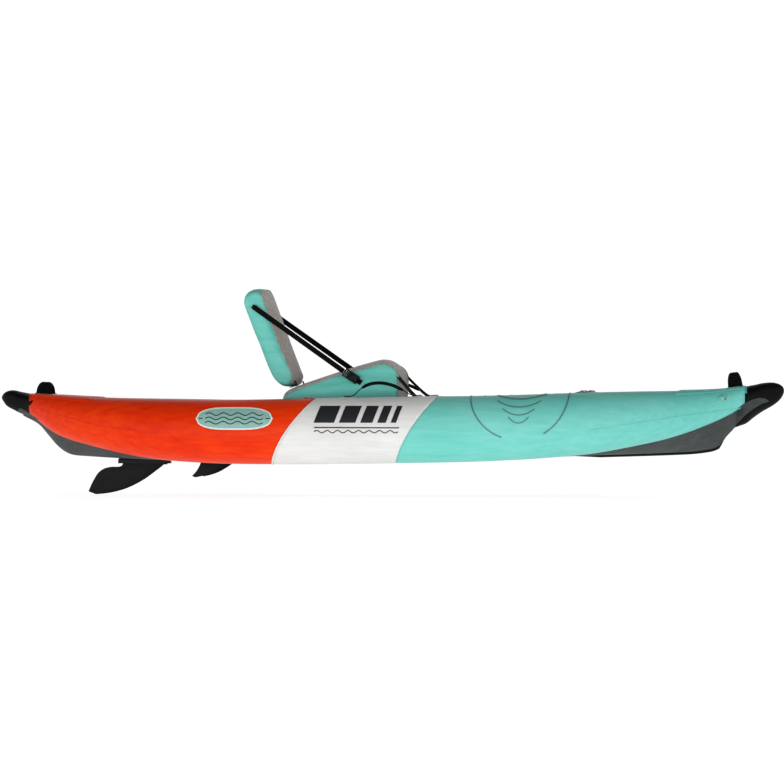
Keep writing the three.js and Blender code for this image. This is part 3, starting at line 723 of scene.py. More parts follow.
def rigid_ring(name, place, width, depth, wire, height):
    """Welded wire D: a straight bar under the keeper and a round bow beyond it."""
    bow = []
    for i in range(33):
        a = math.radians(-90 + 180 * i / 32)
        bow.append((depth * math.cos(a), width / 2 * math.sin(a)))
    corner = [(-0.0015, width / 2 - 0.002), (-0.0025, 0.0), (-0.0015, 0.002 - width / 2)]
    path = [place @ Vector((u, v, height)) for u, v in bow + corner]
    up = turned(place, 0, 0, 1)
    return swept(name, path, circle(wire, 10), up, STEEL, closed=True)


# Ring patches: a welded round patch, a webbing keeper and a wire D ring ------------------------
RING_PATCH_RADIUS = 0.030
RINGS = (
    ("bow_ring", 0.848 * HALF, 20, TEAL, 0.021),
    ("deck_ring", 0.5 * HALF, 100, TEAL, 0.030),
    ("seat_front_ring", 0.1 * HALF, 118, WHITE, 0.030),
    ("seat_rear_ring", -0.187 * HALF, 108, ORANGE, 0.030),
)


def ring_patch(label, side, name, x, angle, finish, radius):
    patch = tube_patch(f"{label}_{name}_patch", side, x, angle, round_outline(radius, radius),
                       0.0022, finish)
    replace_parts(patch, f"{label}_{name}")
    place = tube_frame(side, x, angle)
    up = turned(place, 0, 0, 1)
    share = radius / RING_PATCH_RADIUS
    hump = [(-0.023, 0.0030), (-0.017, 0.0032), (-0.011, 0.0048), (-0.006, 0.0080),
            (-0.002, 0.0090), (0.002, 0.0080), (0.003, 0.0052), (0.001, 0.0034)]
    path = curve_through([place @ Vector((u * share, 0, h)) for u, h in hump], 0.0012)
    welded = share < 1
    swept(f"{label}_{name}_keeper", path, band(0.020 * share, 0.0016), up,
          finish if welded else WEBBING)
    rigid_ring(f"{label}_{name}", place @ Matrix.Translation((-0.002, 0, 0)),
               0.030 * share, 0.021 * share, 0.0019, 0.0062)


for label, side in SIDES:
    for row in RINGS:
        ring_patch(label, side, *row)


# Valves: flange, threaded collar and a cap with finger flutes ----------------------------------
def valve(name, place, node):
    profile = [(0.0, 0.0, 0), (0.0218, 0.0, 0), (0.0222, 0.0012, 0), (0.0215, 0.0026, 0),
               (0.0186, 0.0031, 0), (0.0182, 0.0040, 0), (0.0178, 0.0046, 1), (0.0176, 0.0085, 1),
               (0.0168, 0.0098, 1), (0.0150, 0.0104, 0.3), (0.0120, 0.0102, 0), (0.0105, 0.0092, 0),
               (0.0040, 0.0090, 0), (0.0, 0.0091, 0)]
    flutes, count = 18, 144
    rings = []
    for radius, height, fluted in profile:
        ring = []
        for i in range(count):
            a = 2 * math.pi * i / count
            r = radius * (1 - 0.035 * fluted * (0.5 + 0.5 * math.cos(flutes * a)) ** 3)
            ring.append(place @ Vector((max(r, 0.0001) * math.cos(a),
                                        max(r, 0.0001) * math.sin(a), height)))
        rings.append(ring)
    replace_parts(lofted(name, rings, CLIP), node)
    rib = [((0, 0, 0.0098), (0.021, 0.0032, 0.0022), 0.0008)]
    blocks(f"{name}_grip", rib, place, CLIP)


VALVE_X, VALVE_ANGLE = -0.56 * HALF, 128
for label, side in SIDES:
    valve(f"{label}_tube_valve_cap", tube_frame(side, VALVE_X, VALVE_ANGLE, 0.001),
          f"{label}_tube_valve")
    tube_patch(f"{label}_tube_valve_patch", side, VALVE_X, VALVE_ANGLE,
               round_outline(0.036, 0.036), 0.0015, ORANGE)
low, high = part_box("floor_valve")
valve("floor_valve_cap", Matrix.Translation(((low[0] + high[0]) / 2, 0, low[2])), "floor_valve")

# Nose caps -------------------------------------------------------------------------------------
BOW_DECK_TOP = tube_z(TUBE_BOW_END) + tube_radius(TUBE_BOW_END)
STERN_DECK_TOP = tube_z(TUBE_STERN_END) + tube_radius(TUBE_STERN_END)
# Each row: place along the half length, top and bottom above the tubes' top there, half width share
BOW_NOSE = [
    (0.872, -0.062, -0.161, 0.22), (0.888, -0.020, -0.152, 0.66), (0.905, -0.001, -0.142, 0.97),
    (0.925, 0.006, -0.118, 0.93), (0.947, 0.013, -0.095, 0.80), (0.97, 0.015, -0.075, 0.60),
    (0.987, 0.009, -0.055, 0.40), (0.996, -0.001, -0.036, 0.20), (0.9995, -0.010, -0.022, 0.06),
]
STERN_NOSE = [
    (-0.896, -0.024, -0.108, 1.10), (-0.906, -0.004, -0.102, 1.33), (-0.916, 0.000, -0.095, 1.27),
    (-0.930, 0.004, -0.085, 1.06), (-0.948, 0.009, -0.076, 0.84),
    (-0.97, 0.016, -0.060, 0.62), (-0.987, 0.011, -0.045, 0.41), (-0.996, 0.0, -0.027, 0.20),
    (-0.9995, -0.008, -0.018, 0.06),
]


def nose_at(rows, x):
    """Top, bottom and half-width share of a nose cap at x."""
    ordered = sorted(rows)
    return tuple(along([(row[0], row[k]) for row in ordered], x) for k in (1, 2, 3))


def nose_spread(level):
    """Half width of a nose section at a level from -1, its keel, to 1, its top."""
    level = max(-1.0, min(1.0, level))
    return (1 - abs(level) ** 2.6) ** (1 / 2.2) * (0.66 + 0.34 * (level + 1) / 2)


def nose_half(rows, deck, full_half, x, z):
    top, bottom, share = nose_at(rows, x)
    middle, tall = deck + (top + bottom) / 2, (top - bottom) / 2
    return max(share, 0.0) * full_half * nose_spread((z - middle) / tall)


def nose_cap(name, rows, end, deck):
    full_half = tube_y(end) + tube_radius(end)
    start, tip = rows[0][0] * HALF, rows[-1][0] * HALF
    rings = []
    for t in spaced(0, 1, 1 / 46):
        x = start + (tip - start) * (1 - (1 - t) ** 1.6)
        top, bottom, share = nose_at(rows, x)
        middle, tall = deck + (top + bottom) / 2, (top - bottom) / 2
        ring = []
        for i in range(56):
            a = 2 * math.pi * i / 56
            level = math.sin(a)
            half = max(share, 0.02) * full_half * nose_spread(level * 0.9995)
            ring.append(Vector((x, math.copysign(half, math.cos(a)), middle + tall * level)))
        rings.append(ring)
    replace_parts(lofted(name, rings, RUBBER), name)


nose_cap("bow_nose", BOW_NOSE, TUBE_BOW_END, BOW_DECK_TOP)
nose_cap("stern_nose", STERN_NOSE, TUBE_STERN_END, STERN_DECK_TOP)


def floor_half(x, z):
    low = floor_bottom(x)
    chine = floor_chine(x)
    share = max(0.0, min(1.0, (z - low) / (chine - low)))
    keel = tube_y(x) * along(FLOOR_KEEL_SHARE, x)
    return keel + (tube_y(x) - keel) * share


def tube_half(x, z):
    drop = abs(z - tube_z(x))
    return tube_y(x) + math.sqrt(max(0.0, tube_radius(x) ** 2 - drop**2))


def skin_half(x, z, bow):
    """Half width of the hull's end at (x, z): the widest of nose, tube and floor fairing."""
    rows, deck, end = (BOW_NOSE, BOW_DECK_TOP, TUBE_BOW_END) if bow else (
        STERN_NOSE, STERN_DECK_TOP, TUBE_STERN_END)
    halves = [0.004]
    if abs(x) > abs(rows[0][0]) * HALF:
        halves.append(nose_half(rows, deck, tube_y(end) + tube_radius(end), x, z))
    if abs(x) <= abs(end) and abs(z - tube_z(x)) < tube_radius(x):
        halves.append(tube_half(x, z))
    inside = x <= FLOOR_BOW_END if bow else x >= FLOOR_STERN_END
    if inside and z >= floor_bottom(x) and z < tube_z(x):
        halves.append(floor_half(x, z))
    return max(halves)


def interpolate(rows, x):
    for (x0, v0), (x1, v1) in zip(rows, rows[1:]):
        if x <= x1:
            return v0 + (v1 - v0) * max(0.0, (x - x0) / (x1 - x0))
    return rows[-1][1]


def nose_flap(name, bow, upper, lower, lift=0.0016):
    """Tongue of the floor's cloth lapped up each side of a nose cap, in one piece a side."""
    start, end = upper[0][0], upper[-1][0]
    for label, side in SIDES:
        rings = []
        for x in spaced(start, end, 0.003):
            high, low = interpolate(upper, x), interpolate(lower, x)
            ring = []
            for t in spaced(0, 1, 1 / 12):
                z = low + (high - low) * t
                edge = min(1.0, 8 * min(t, 1 - t) + 0.25)
                ring.append(Vector((x, side * (skin_half(x, z, bow) + lift * edge), z)))
            inner = [Vector((p.x, p.y - side * 0.004, p.z)) for p in reversed(ring)]
            rings.append(ring + inner)
        lofted(f"{label}_{name}", rings, GREY)


nose_flap("bow_flap", True,
          [(1.300, 0.135), (1.330, 0.166), (1.345, 0.183), (1.376, 0.208), (1.405, 0.221),
           (1.430, 0.227), (1.450, 0.226), (1.462, 0.2190), (1.468, 0.2125)],
          [(1.300, 0.082), (1.335, 0.117), (1.355, 0.138), (1.376, 0.160), (1.410, 0.186),
           (1.440, 0.203), (1.462, 0.2105), (1.468, 0.2120)])
nose_flap("stern_flap", False,
          [(-1.456, 0.176), (-1.452, 0.184), (-1.444, 0.187), (-1.430, 0.182), (-1.412, 0.170),
           (-1.392, 0.158), (-1.370, 0.146)],
          [(-1.456, 0.175), (-1.444, 0.166), (-1.430, 0.158), (-1.392, 0.137), (-1.370, 0.118)])


# Deck panels and their collars -----------------------------------------------------------------
def deck_height(x, y, lift):
    """Top of the deck cloth: over the tubes' tops and stretched flat between them."""
    across = abs(y) - tube_y(x)
    if across <= 0:
        return tube_z(x) + tube_radius(x) + lift
    return tube_z(x) + math.sqrt(max(0.0, tube_radius(x) ** 2 - across**2)) + lift


def deck_panel(name, start, end, bow, finish):
    """Stretched deck cloth, its inner edge cut in a curve, welded over the tubes' shoulders."""
    lift, thick = 0.0030, 0.0012
    cut = 0.055 if bow else -0.055
    rows, area = [], 0.0
    for t in spaced(0, 1, 1 / 44):
        row = []
        for k in range(-18, 19):
            share = k / 18
            base = start + (end - start) * t
            x = base + cut * (1 - share**2) * (1 - t)
            reach = tube_y(x) + tube_radius(x) * 0.62
            y = share * reach
            row.append(Vector((x, y, deck_height(x, y, lift))))
        rows.append(row)
    for r0, r1 in zip(rows, rows[1:]):
        for k in range(36):
            one, two = r0[k + 1] - r0[k], r1[k] - r0[k]
            area += one.cross(two).length
    rings = [row + [p - Vector((0, 0, thick)) for p in reversed(row)] for row in rows]
    made = lofted(name, rings, finish)
    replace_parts(made, name)


BOW_DECK_START, STERN_DECK_START = 0.728 * HALF, -0.741 * HALF
deck_panel("bow_deck", BOW_DECK_START, TUBE_BOW_END, True, TEAL)
deck_panel("stern_deck", STERN_DECK_START, TUBE_STERN_END, False, ORANGE)


def collar(name, bow, edge, finish):
    """Tab of deck cloth lapped over the nose cap: edge rows are (x, its lower edge's height)."""
    rings = []
    start, end = edge[0][0], edge[-1][0]
    deck = BOW_DECK_TOP if bow else STERN_DECK_TOP
    for x in spaced(start, end, 0.002):
        low = interpolate(edge, x)
        rows = BOW_NOSE if bow else STERN_NOSE
        crown = deck + nose_at(rows, x)[0]
        if abs(x) <= abs(TUBE_BOW_END if bow else TUBE_STERN_END):
            crown = max(crown, tube_z(x) + tube_radius(x))
        half = []
        for t in spaced(0, 1, 1 / 16):
            z = low + (crown - 0.0002 - low) * math.sin(t * math.pi / 2)
            half.append((skin_half(x, z, bow) + 0.0018, z + 0.0024 * t))
        right = [Vector((x, y, z)) for y, z in half]
        flat = [Vector((x, half[-1][0] * k / 6, half[-1][1])) for k in range(5, -6, -1)]
        left = [Vector((x, -p.y, p.z)) for p in reversed(right)]
        ring = right + flat + left
        rings.append(ring + [Vector((p.x, p.y * 0.93, p.z - 0.002)) for p in reversed(ring)])
    lofted(name, rings, finish)


collar("bow_collar", True, [(1.342, 0.262), (1.352, 0.257), (1.366, 0.252), (1.383, 0.243)],
       TEAL)
collar("stern_collar", False, [(-1.404, 0.218), (-1.400, 0.213), (-1.384, 0.222), (-1.366, 0.235)],
       ORANGE)

# Keel guard: moulded strip under the forward keel, its end turned up ---------------------------
GUARD_START, GUARD_END = 0.446 * HALF, 0.847 * HALF
guard_rings = []
for x in spaced(GUARD_START, GUARD_END, 0.008):
    ease = min(1.0, 0.15 + (x - GUARD_START) / 0.16, (GUARD_END - x) / 0.02 + 0.25)
    top, wide, deep = floor_bottom(x) + 0.002, 0.021, 0.0125 * ease
    guard_rings.append([
        Vector((x, wide * math.cos(a), top - deep * max(0.0, math.sin(a)) ** 0.6))
        for a in (math.pi * i / 20 for i in range(21))
    ] + [Vector((x, 0, top + 0.002))])
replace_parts(lofted("keel_guard", guard_rings, RUBBER), "keel_guard")


# Grab handles: webbing arch on stitched feet, with a moulded grip ------------------------------
GRAB_HALF_SPAN, GRAB_LIFT = 0.040, 0.0035


def grab_handle(name, x, height, foot_width, top_width):
    slope = math.atan2(deck_height(x + 0.02, 0, 0) - deck_height(x - 0.02, 0, 0), 0.04)
    place = (Matrix.Translation((x, 0, deck_height(x, 0, GRAB_LIFT)))
             @ Matrix.Rotation(-slope, 4, "Y"))
    path, ups = [], []
    for i in range(41):
        a = math.pi * i / 40
        path.append(place @ Vector((0, -(GRAB_HALF_SPAN - 0.0025) * math.cos(a),
                                    (height - 0.0035) * math.sin(a) + 0.0015)))
        ups.append(place.to_3x3() @ Vector((0, -math.cos(a), math.sin(a))))
    share = 1 - (top_width / foot_width) ** 2
    arch = swept(name, path, band(1.0, 0.06), ups, WEBBING, grow=lambda t: (
        foot_width * math.sqrt(1 - share * math.sin(math.pi * t) ** 2.4),) * 2)
    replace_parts(arch, name)
    grip = path[10:31]
    swept(f"{name}_grip", grip, band(1.0, 0.2), ups[10:31], RUBBER,
          grow=lambda t: ((top_width - 0.004) * (0.9 + 0.1 * math.sin(math.pi * t)),
                          0.040 * min(1.0, 0.35 + 3 * min(t, 1 - t))))
    up = turned(place, 0, 0, 1)
    for end in (-1, 1):
        foot = [place @ Vector((0, end * y, 0.0018)) for y in (0.020, 0.030, 0.040, 0.052, 0.064)]
        swept(f"{name}_foot_{'port' if end > 0 else 'starboard'}", foot,
              band(foot_width + 0.004, 0.0030), up, WEBBING)
        box = stitch_box(place @ Vector((0, end * 0.040, 0.0036)),
                         turned(place, 0, end, 0), turned(place, 1, 0, 0),
                         0.024, foot_width)
        stitches(f"{name}_stitches_{'port' if end > 0 else 'starboard'}", box, up)


grab_handle("bow_grab_handle", 0.877 * HALF, 0.054, 0.054, 0.036)
grab_handle("stern_grab_handle", -0.886 * HALF, 0.045, 0.062, 0.040)


# Carry handles: folded webbing with a rubber grip, on two welded tabs --------------------------
def carry_handle(label, side):
    x0 = 0.003 * HALF
    rows = [(-0.147, 0.0040), (-0.122, 0.0045), (-0.106, 0.0110), (-0.086, 0.0300),
            (-0.062, 0.0450), (-0.034, 0.0530), (0.000, 0.0535), (0.035, 0.0460), (0.070, 0.0300),
            (0.098, 0.0130), (0.120, 0.0050), (0.152, 0.0040)]
    place = tube_frame(side, x0, 90)
    path = curve_through([place @ Vector((u, 0, h)) for u, h in rows], 0.005)
    across = turned(place, 0, 1, 0)
    up = turned(place, 0, 0, 1)
    ups = [across.cross(forward).normalized() * -1 for forward in headings(path)]
    made = swept(f"{label}_carry_handle", path, band(0.025, 0.0028), ups, WEBBING, grow=lambda t: (
                     1.0 - 0.45 * min(1.0, max(0.0, (0.42 - abs(t - 0.5)) * 12)),) + (1.0,))
    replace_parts(made, f"{label}_carry_handle")
    first = next(i for i, p in enumerate(path) if (p - path[0]).length > 0.075)
    final = next(i for i, p in enumerate(path) if (p - path[-1]).length < 0.075)
    swept(f"{label}_carry_grip", path[first:final], circle(0.0062, 16), ups[first:final],
          RUBBER,
          grow=lambda t: (min(1.0, 0.6 + 6 * min(t, 1 - t)) * (1 + 0.035 * math.cos(t * 150)),) * 2)
    for end, u in ((-1, -0.132), (1, 0.139)):
        name = f"{label}_carry_tab_{'aft' if end < 0 else 'fore'}"
        tube_patch(name, side, x0 + u, 90, round_outline(0.034, 0.024, 5), 0.0020, WHITE)
        spot = tube_frame(side, x0 + u, 90, 0.0062)
        box = stitch_box(spot @ Vector((-0.013, 0, 0)), turned(spot, 1, 0, 0),
                         turned(spot, 0, 1, 0), 0.026, 0.022)
        stitches(f"{name}_stitches", box, up)


for label, side in SIDES:
    carry_handle(label, side)

# Seat cushions ---------------------------------------------------------------------------------
SEAT_LOW, SEAT_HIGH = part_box("seat_base")
BACK_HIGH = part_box("backrest")[1]
SEAT_FLOOR = SEAT_LOW[2]
SEAT_REAR, SEAT_FRONT = SEAT_LOW[0], SEAT_HIGH[0]
SEAT_HALF = SEAT_HIGH[1]
HINGE = Vector(next(j for j in frame["joints"] if j["name"] == "backrest_fold")["pos_m"])
SIDE_SWELL = 0.016
CUSHION_STEP = 0.0085


def smooth_step(t):
    t = max(0.0, min(1.0, t))
    return t * t * (3 - 2 * t)


def inflate(made, pinned, pressure, reach):
    """Cloth simulation: the welded panels swell between their pinned seams, by at most reach."""
    group = made.vertex_groups.new(name="seams")
    group.add(pinned, 1.0, "REPLACE")
    cloth = made.modifiers.new("inflate", "CLOTH")
    settings = cloth.settings
    settings.vertex_group_mass = "seams"
    settings.use_pressure = True
    settings.uniform_pressure_force = pressure
    settings.effector_weights.gravity = 0
    settings.tension_stiffness = 18
    settings.compression_stiffness = 12
    settings.shear_stiffness = 8
    settings.bending_stiffness = 1.5
    settings.mass = 0.25
    cloth.point_cache.frame_start, cloth.point_cache.frame_end = 1, 20
    before = [vert.co.copy() for vert in made.data.vertices]
    scene = bpy.context.scene
    for step in range(1, 21):
        scene.frame_set(step)
    swollen = made.evaluated_get(bpy.context.evaluated_depsgraph_get()).to_mesh()
    after = [vert.co.copy() for vert in swollen.vertices]
    made.evaluated_get(bpy.context.evaluated_depsgraph_get()).to_mesh_clear()
    made.modifiers.remove(cloth)
    scene.frame_set(1)
    for vert, old, new in zip(made.data.vertices, before, after):
        moved = new - old
        if moved.length > reach:
            moved *= reach / moved.length
        vert.co = old + moved


def cushion(name, rows, half, spine, plan, face_rows, body, node, crown_power=2.6, reach=0.007):
    """Inflated cushion from its side outline.

    rows hold (middle x, z, side x, z) round the outline: the section is the first pair along the
    centreline and eases to the second at the welded sides. plan(x, z, t) shifts a point at a share
    t of the half width. face_rows are the first and last rows of the knitted face.
    """
    count_of = [max(1, round(math.dist(row[:2], rows[(i + 1) % len(rows)][:2]) / CUSHION_STEP))
                for i, row in enumerate(rows)]
    centre = closed_curve([Vector((row[0], 0, row[1])) for row in rows], count_of)
    edge = closed_curve([Vector((row[2], 0, row[3])) for row in rows], count_of)
    count = len(centre)
    first, last = sum(count_of[:face_rows[0]]), sum(count_of[:face_rows[1]])
    columns = 36
    points, faces, knit, pinned = [], [], [], []
    for j in range(columns + 1):
        y = -half + 2 * half * j / columns
        t = abs(y) / half
        dome = 1 - t**crown_power
        for i in range(count):
            here = edge[i] + (centre[i] - edge[i]) * dome
            x, z = plan(here.x, here.z, t)
            near_side = math.exp(-(1 - t) * half / 0.05)
            pucker = 0.0011 * noise.noise((x * 21, y * 21, z * 21)) * near_side
            points.append(Vector((x, y, z)) + (here - Vector((spine[0], 0, spine[1]))).normalized()
                          * pucker)
            if j in (0, columns) or i in (first, last):
                pinned.append(len(points) - 1)
    for j in range(columns):
        for i in range(count):
            a, b = j * count + i, j * count + (i + 1) % count
            faces.append((a, b, b + count, a + count))
            knit.append(first <= i < last)
    rings = 9
    for side, base in ((-1, 0), (1, columns * count)):
        previous = list(range(base, base + count))
        for k in range(1, rings):
            share = 1 - k / rings
            current = []
            for i in range(count):
                rim = points[base + i]
                here = Vector((spine[0], rim.y, spine[1])) * (1 - share) + rim * share
                bulge = SIDE_SWELL * (1 - share**2.2)
                points.append(here + Vector((0, side * bulge, 0)))
                current.append(len(points) - 1)
            for i in range(count):
                n = (i + 1) % count
                faces.append((previous[i], previous[n], current[n], current[i]))
                knit.append(False)
            previous = current
        points.append(Vector((spine[0], side * (half + SIDE_SWELL), spine[1])))
        for i in range(count):
            faces.append((previous[i], previous[(i + 1) % count], len(points) - 1))
            knit.append(False)
    made = piece(name, points, faces, SEAT_SIDE, None)
    made.data.materials.append(SEAT_FACE[0])
    made.data.polygons.foreach_set("material_index", [int(k) for k in knit])
    inflate(made, pinned, 4.0, reach)
    fine = made.modifiers.new("fine", "SUBSURF")
    fine.levels = fine.render_levels = 1
    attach(made, body)
    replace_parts(made, node)
    final = [vert.co.copy() for vert in made.data.vertices]
    sides = [[final[base + i] for i in range(count)] for base in (0, columns * count)]
    ends = [[final[j * count + i] for j in range(columns + 1)] for i in (first, last)]
    return sides, ends, (first, last)


def piping(name, path, body):
    up = Vector((0.31, 0.11, 0.94)).normalized()
    swept(name, path, circle(0.0021, 8), up, SEAT_FACE, body)


def seat_plan(x, z, t):
    """The front bows forward between its corners and the rear corners are rounded off."""
    ahead = smooth_step((x - (SEAT_FRONT - 0.12)) / 0.12)
    behind = smooth_step((SEAT_REAR + 0.08 - x) / 0.08)
    return x - 0.004 * t**3 * ahead + 0.008 * t**5 * behind, z


def seat_rows():
    """(middle x, z, side x, z) from the rear foot, up and over the top, and down the nose."""
    r, f, b = SEAT_REAR, SEAT_FRONT, SEAT_FLOOR
    return [
        (r + 0.008, b + 0.002, r + 0.010, b + 0.002), (r + 0.001, b + 0.050, r + 0.003, b + 0.050),
        (r + 0.001, b + 0.098, r + 0.006, b + 0.094), (r + 0.008, b + 0.122, r + 0.014, b + 0.111),
        (r + 0.024, b + 0.134, r + 0.030, b + 0.120), (r + 0.094, b + 0.160, r + 0.094, b + 0.143),
        (f - 0.257, b + 0.196, f - 0.262, b + 0.179), (f - 0.186, b + 0.219, f - 0.190, b + 0.200),
        (f - 0.114, b + 0.239, f - 0.114, b + 0.219), (f - 0.073, b + 0.250, f - 0.066, b + 0.231),
        (f - 0.052, b + 0.247, f - 0.044, b + 0.230), (f - 0.035, b + 0.236, f - 0.024, b + 0.222),
        (f - 0.014, b + 0.215, f - 0.006, b + 0.206), (f - 0.003, b + 0.190, f + 0.003, b + 0.184),
        (f - 0.001, b + 0.160, f + 0.003, b + 0.155), (f - 0.004, b + 0.100, f + 0.000, b + 0.100),
        (f - 0.010, b + 0.002, f - 0.008, b + 0.002), (f - 0.120, b + 0.001, f - 0.120, b + 0.001),
        (f - 0.250, b + 0.001, f - 0.250, b + 0.001), (r + 0.100, b + 0.001, r + 0.100, b + 0.001),
    ]


sides, ends, (first, last) = cushion(
    "seat_base", seat_rows(), SEAT_HALF - 0.015, ((SEAT_REAR + SEAT_FRONT) / 2 + 0.03,
                                                  SEAT_FLOOR + 0.095),
    seat_plan, (3, 15), "hull", "seat_base")
for label, line in zip(("starboard", "port"), sides):
    piping(f"{label}_seat_piping", line[first:last + 1], "hull")

# Backrest: its long axis leans back from the hinge
LEAN = math.radians(21)
BACK_UP = Vector((-math.sin(LEAN), 0, math.cos(LEAN)))
BACK_TOP = 0.392


def back_plan(x, z, t):
    """The top corners are rounded, and the bottom corners a little."""
    w = (x - HINGE.x) * BACK_UP.x + (z - HINGE.z) * BACK_UP.z
    drop = 0.013 * t**9 * smooth_step((w - (BACK_TOP - 0.12)) / 0.12)
    rise = 0.010 * t**9 * smooth_step((0.07 - w) / 0.09)
    return x + BACK_UP.x * (rise - drop), z + BACK_UP.z * (rise - drop)


def back_rows():
    """(middle x, z, side x, z) from the rear foot, up the back, over the top and down the face."""
    rows = [
        (-84, -26, -82, -24), (-104, -12, -102, -11), (-121, 13, -119, 13), (-138, 50, -136, 50),
        (-155, 91, -152, 91), (-173, 137, -170, 137), (-204, 213, -201, 213),
        (-232, 286, -229, 286),
        (-237, 306, -234, 305), (-233, 325, -230, 324), (-219, 342, -216, 339),
        (-200, 350, -197, 346), (-178, 351, -182, 346), (-160, 348, -170, 338),
        (-151, 338, -164, 328), (-141, 314, -156, 303), (-126, 273, -143, 268),
        (-104, 216, -122, 210), (-77, 140, -94, 132), (-53, 74, -68, 72), (-41, 38, -52, 34),
        (-35, 12, -42, 8), (-44, -14, -48, -14), (-62, -26, -62, -25),
    ]
    return [tuple(v / 1000 + (HINGE.x if k % 2 == 0 else HINGE.z) for k, v in enumerate(row))
            for row in rows]


sides, ends, (first, last) = cushion(
    "backrest", back_rows(), BACK_HIGH[1] - 0.015, (HINGE.x - 0.136, HINGE.z + 0.160),
    back_plan, (13, 22), "backrest", "backrest", reach=0.006)
for label, line in zip(("starboard", "port"), sides):
    piping(f"{label}_backrest_piping", line[first:last + 1], "backrest")
for label, line in zip(("lower", "upper"), reversed(ends)):
    piping(f"{label}_backrest_piping", line, "backrest")


# Straps and buckles ----------------------------------------------------------------------------
WEBBING_WIDTH = 0.020
STRAP_SECTION = band(WEBBING_WIDTH, 0.0016)
STRAP_TOP = HINGE + Vector((-0.190, 0, 0.279))
BUCKLE_TOP = Vector((SEAT_REAR + 0.248, 0, SEAT_FLOOR + 0.203))
BUCKLE_FOOT = Vector((SEAT_REAR + 0.301, 0, SEAT_FLOOR + 0.168))
STRAP_PLANE = SEAT_HALF + 0.004
BACK_PLANE = BACK_HIGH[1] + 0.0035


def at_side(spot, side, y):
    return Vector((spot.x, side * y, spot.z))


def side_release_buckle(label, side):
    """Two-part buckle: a slotted body, a pronged clip and two ladder bars for the webbing."""
    middle = (BUCKLE_TOP + BUCKLE_FOOT) / 2
    forward = (BUCKLE_FOOT - BUCKLE_TOP).normalized()
    out = Vector((0, side, 0))
    across = out.cross(forward)
    place = Matrix((forward, across, out)).transposed().to_4x4()
    place.translation = at_side(middle, side, STRAP_PLANE + 0.0015)
    body = [
        ((0.010, 0, 0.0035), (0.026, 0.034, 0.0075), 0.0022),
        ((0.010, 0, 0.0058), (0.018, 0.020, 0.0075), 0.0020),
        ((0.0265, 0.0125, 0.0030), (0.012, 0.009, 0.0060), 0.0015),
        ((0.0265, -0.0125, 0.0030), (0.012, 0.009, 0.0060), 0.0015),
        ((0.0320, 0, 0.0030), (0.0045, 0.034, 0.0060), 0.0018),
    ]
    clip = [
        ((-0.0085, 0, 0.0033), (0.010, 0.034, 0.0070), 0.0020),
        ((-0.0020, 0.0135, 0.0033), (0.012, 0.005, 0.0050), 0.0014),
        ((-0.0020, -0.0135, 0.0033), (0.012, 0.005, 0.0050), 0.0014),
        ((-0.0020, 0, 0.0033), (0.012, 0.006, 0.0045), 0.0014),
        ((-0.0195, 0.0150, 0.0033), (0.014, 0.004, 0.0065), 0.0015),
        ((-0.0195, -0.0150, 0.0033), (0.014, 0.004, 0.0065), 0.0015),
        ((-0.0185, 0, 0.0030), (0.004, 0.030, 0.0050), 0.0015),
        ((-0.0265, 0, 0.0033), (0.0045, 0.034, 0.0065), 0.0018),
    ]
    made = blocks(f"{label}_buckle_body", body, place, CLIP)
    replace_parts(made, f"{label}_strap_buckle")
    blocks(f"{label}_buckle_clip", clip, place, CLIP)
    tail = [BUCKLE_FOOT - forward * 0.006, BUCKLE_FOOT + forward * 0.006,
            BUCKLE_FOOT + forward * 0.0175]
    path = [at_side(p, side, STRAP_PLANE + 0.0020 - 0.0006 * k) for k, p in enumerate(tail)]
    swept(f"{label}_buckle_tail", path, STRAP_SECTION, out, WEBBING)
    swept(f"{label}_buckle_tail_fold", [p + out * 0.0022 for p in path[:2]],
          STRAP_SECTION, out, WEBBING)


def backrest_strap(label, side):
    line = BUCKLE_TOP - STRAP_TOP
    forward = line.normalized()
    path = []
    for t in spaced(-0.018, 1.0, 0.012):
        spot = STRAP_TOP + line * t
        y = BACK_PLANE + (STRAP_PLANE + 0.0025 - BACK_PLANE) * smooth_step((t - 0.12) / 0.88)
        path.append(at_side(spot, side, y))
    out = Vector((0, side, 0))
    made = swept(f"{label}_backrest_strap", path, STRAP_SECTION, out,
                 WEBBING, body=None,
                 grow=lambda t: (min(1.0, 0.72 + 14 * t), 1.0))
    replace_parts(made, f"{label}_backrest_strap")
    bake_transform(made)
    loop_path = [p + out * 0.0021 for p in path[-14:]]
    spare = swept(f"{label}_strap_keeper_lap", loop_path, STRAP_SECTION,
                  out, WEBBING, body=None)
    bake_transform(spare)
    box = stitch_box(at_side(STRAP_TOP - forward * 0.008, side, BACK_PLANE + 0.0010), forward,
                     out.cross(forward), 0.030, WEBBING_WIDTH)
    stitches(f"{label}_strap_stitches", box, out, "backrest")


def tie_down(label, side):
    """Short strap from a sewn tab on the seat's front corner to the ring on the tube."""
    ring = tube_frame(side, 0.1 * HALF, 118, 0.0062) @ Vector((-0.016, 0, 0))
    top = Vector((SEAT_FRONT - 0.010, side * (SEAT_HALF - 0.030), SEAT_FLOOR + 0.190))
    line = ring - top
    out = Vector((0.42, side * 0.45, 0.80)).normalized()
    path = [top + line * t + Vector((0, 0, -0.004)) * math.sin(math.pi * t)
            for t in spaced(0, 1, 1 / 22)]
    made = swept(f"{label}_seat_tie_down", path, STRAP_SECTION, out, WEBBING)
    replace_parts(made, f"{label}_seat_tie_down")
    lap = [p - out * 0.0022 for p in path[-9:]] + [ring + line.normalized() * 0.004]
    swept(f"{label}_tie_lap", lap, STRAP_SECTION, out, WEBBING)
    box = stitch_box(path[-8] + out * 0.0011, line, out.cross(line), 0.020, 0.018)
    stitches(f"{label}_tie_stitches", box, out)


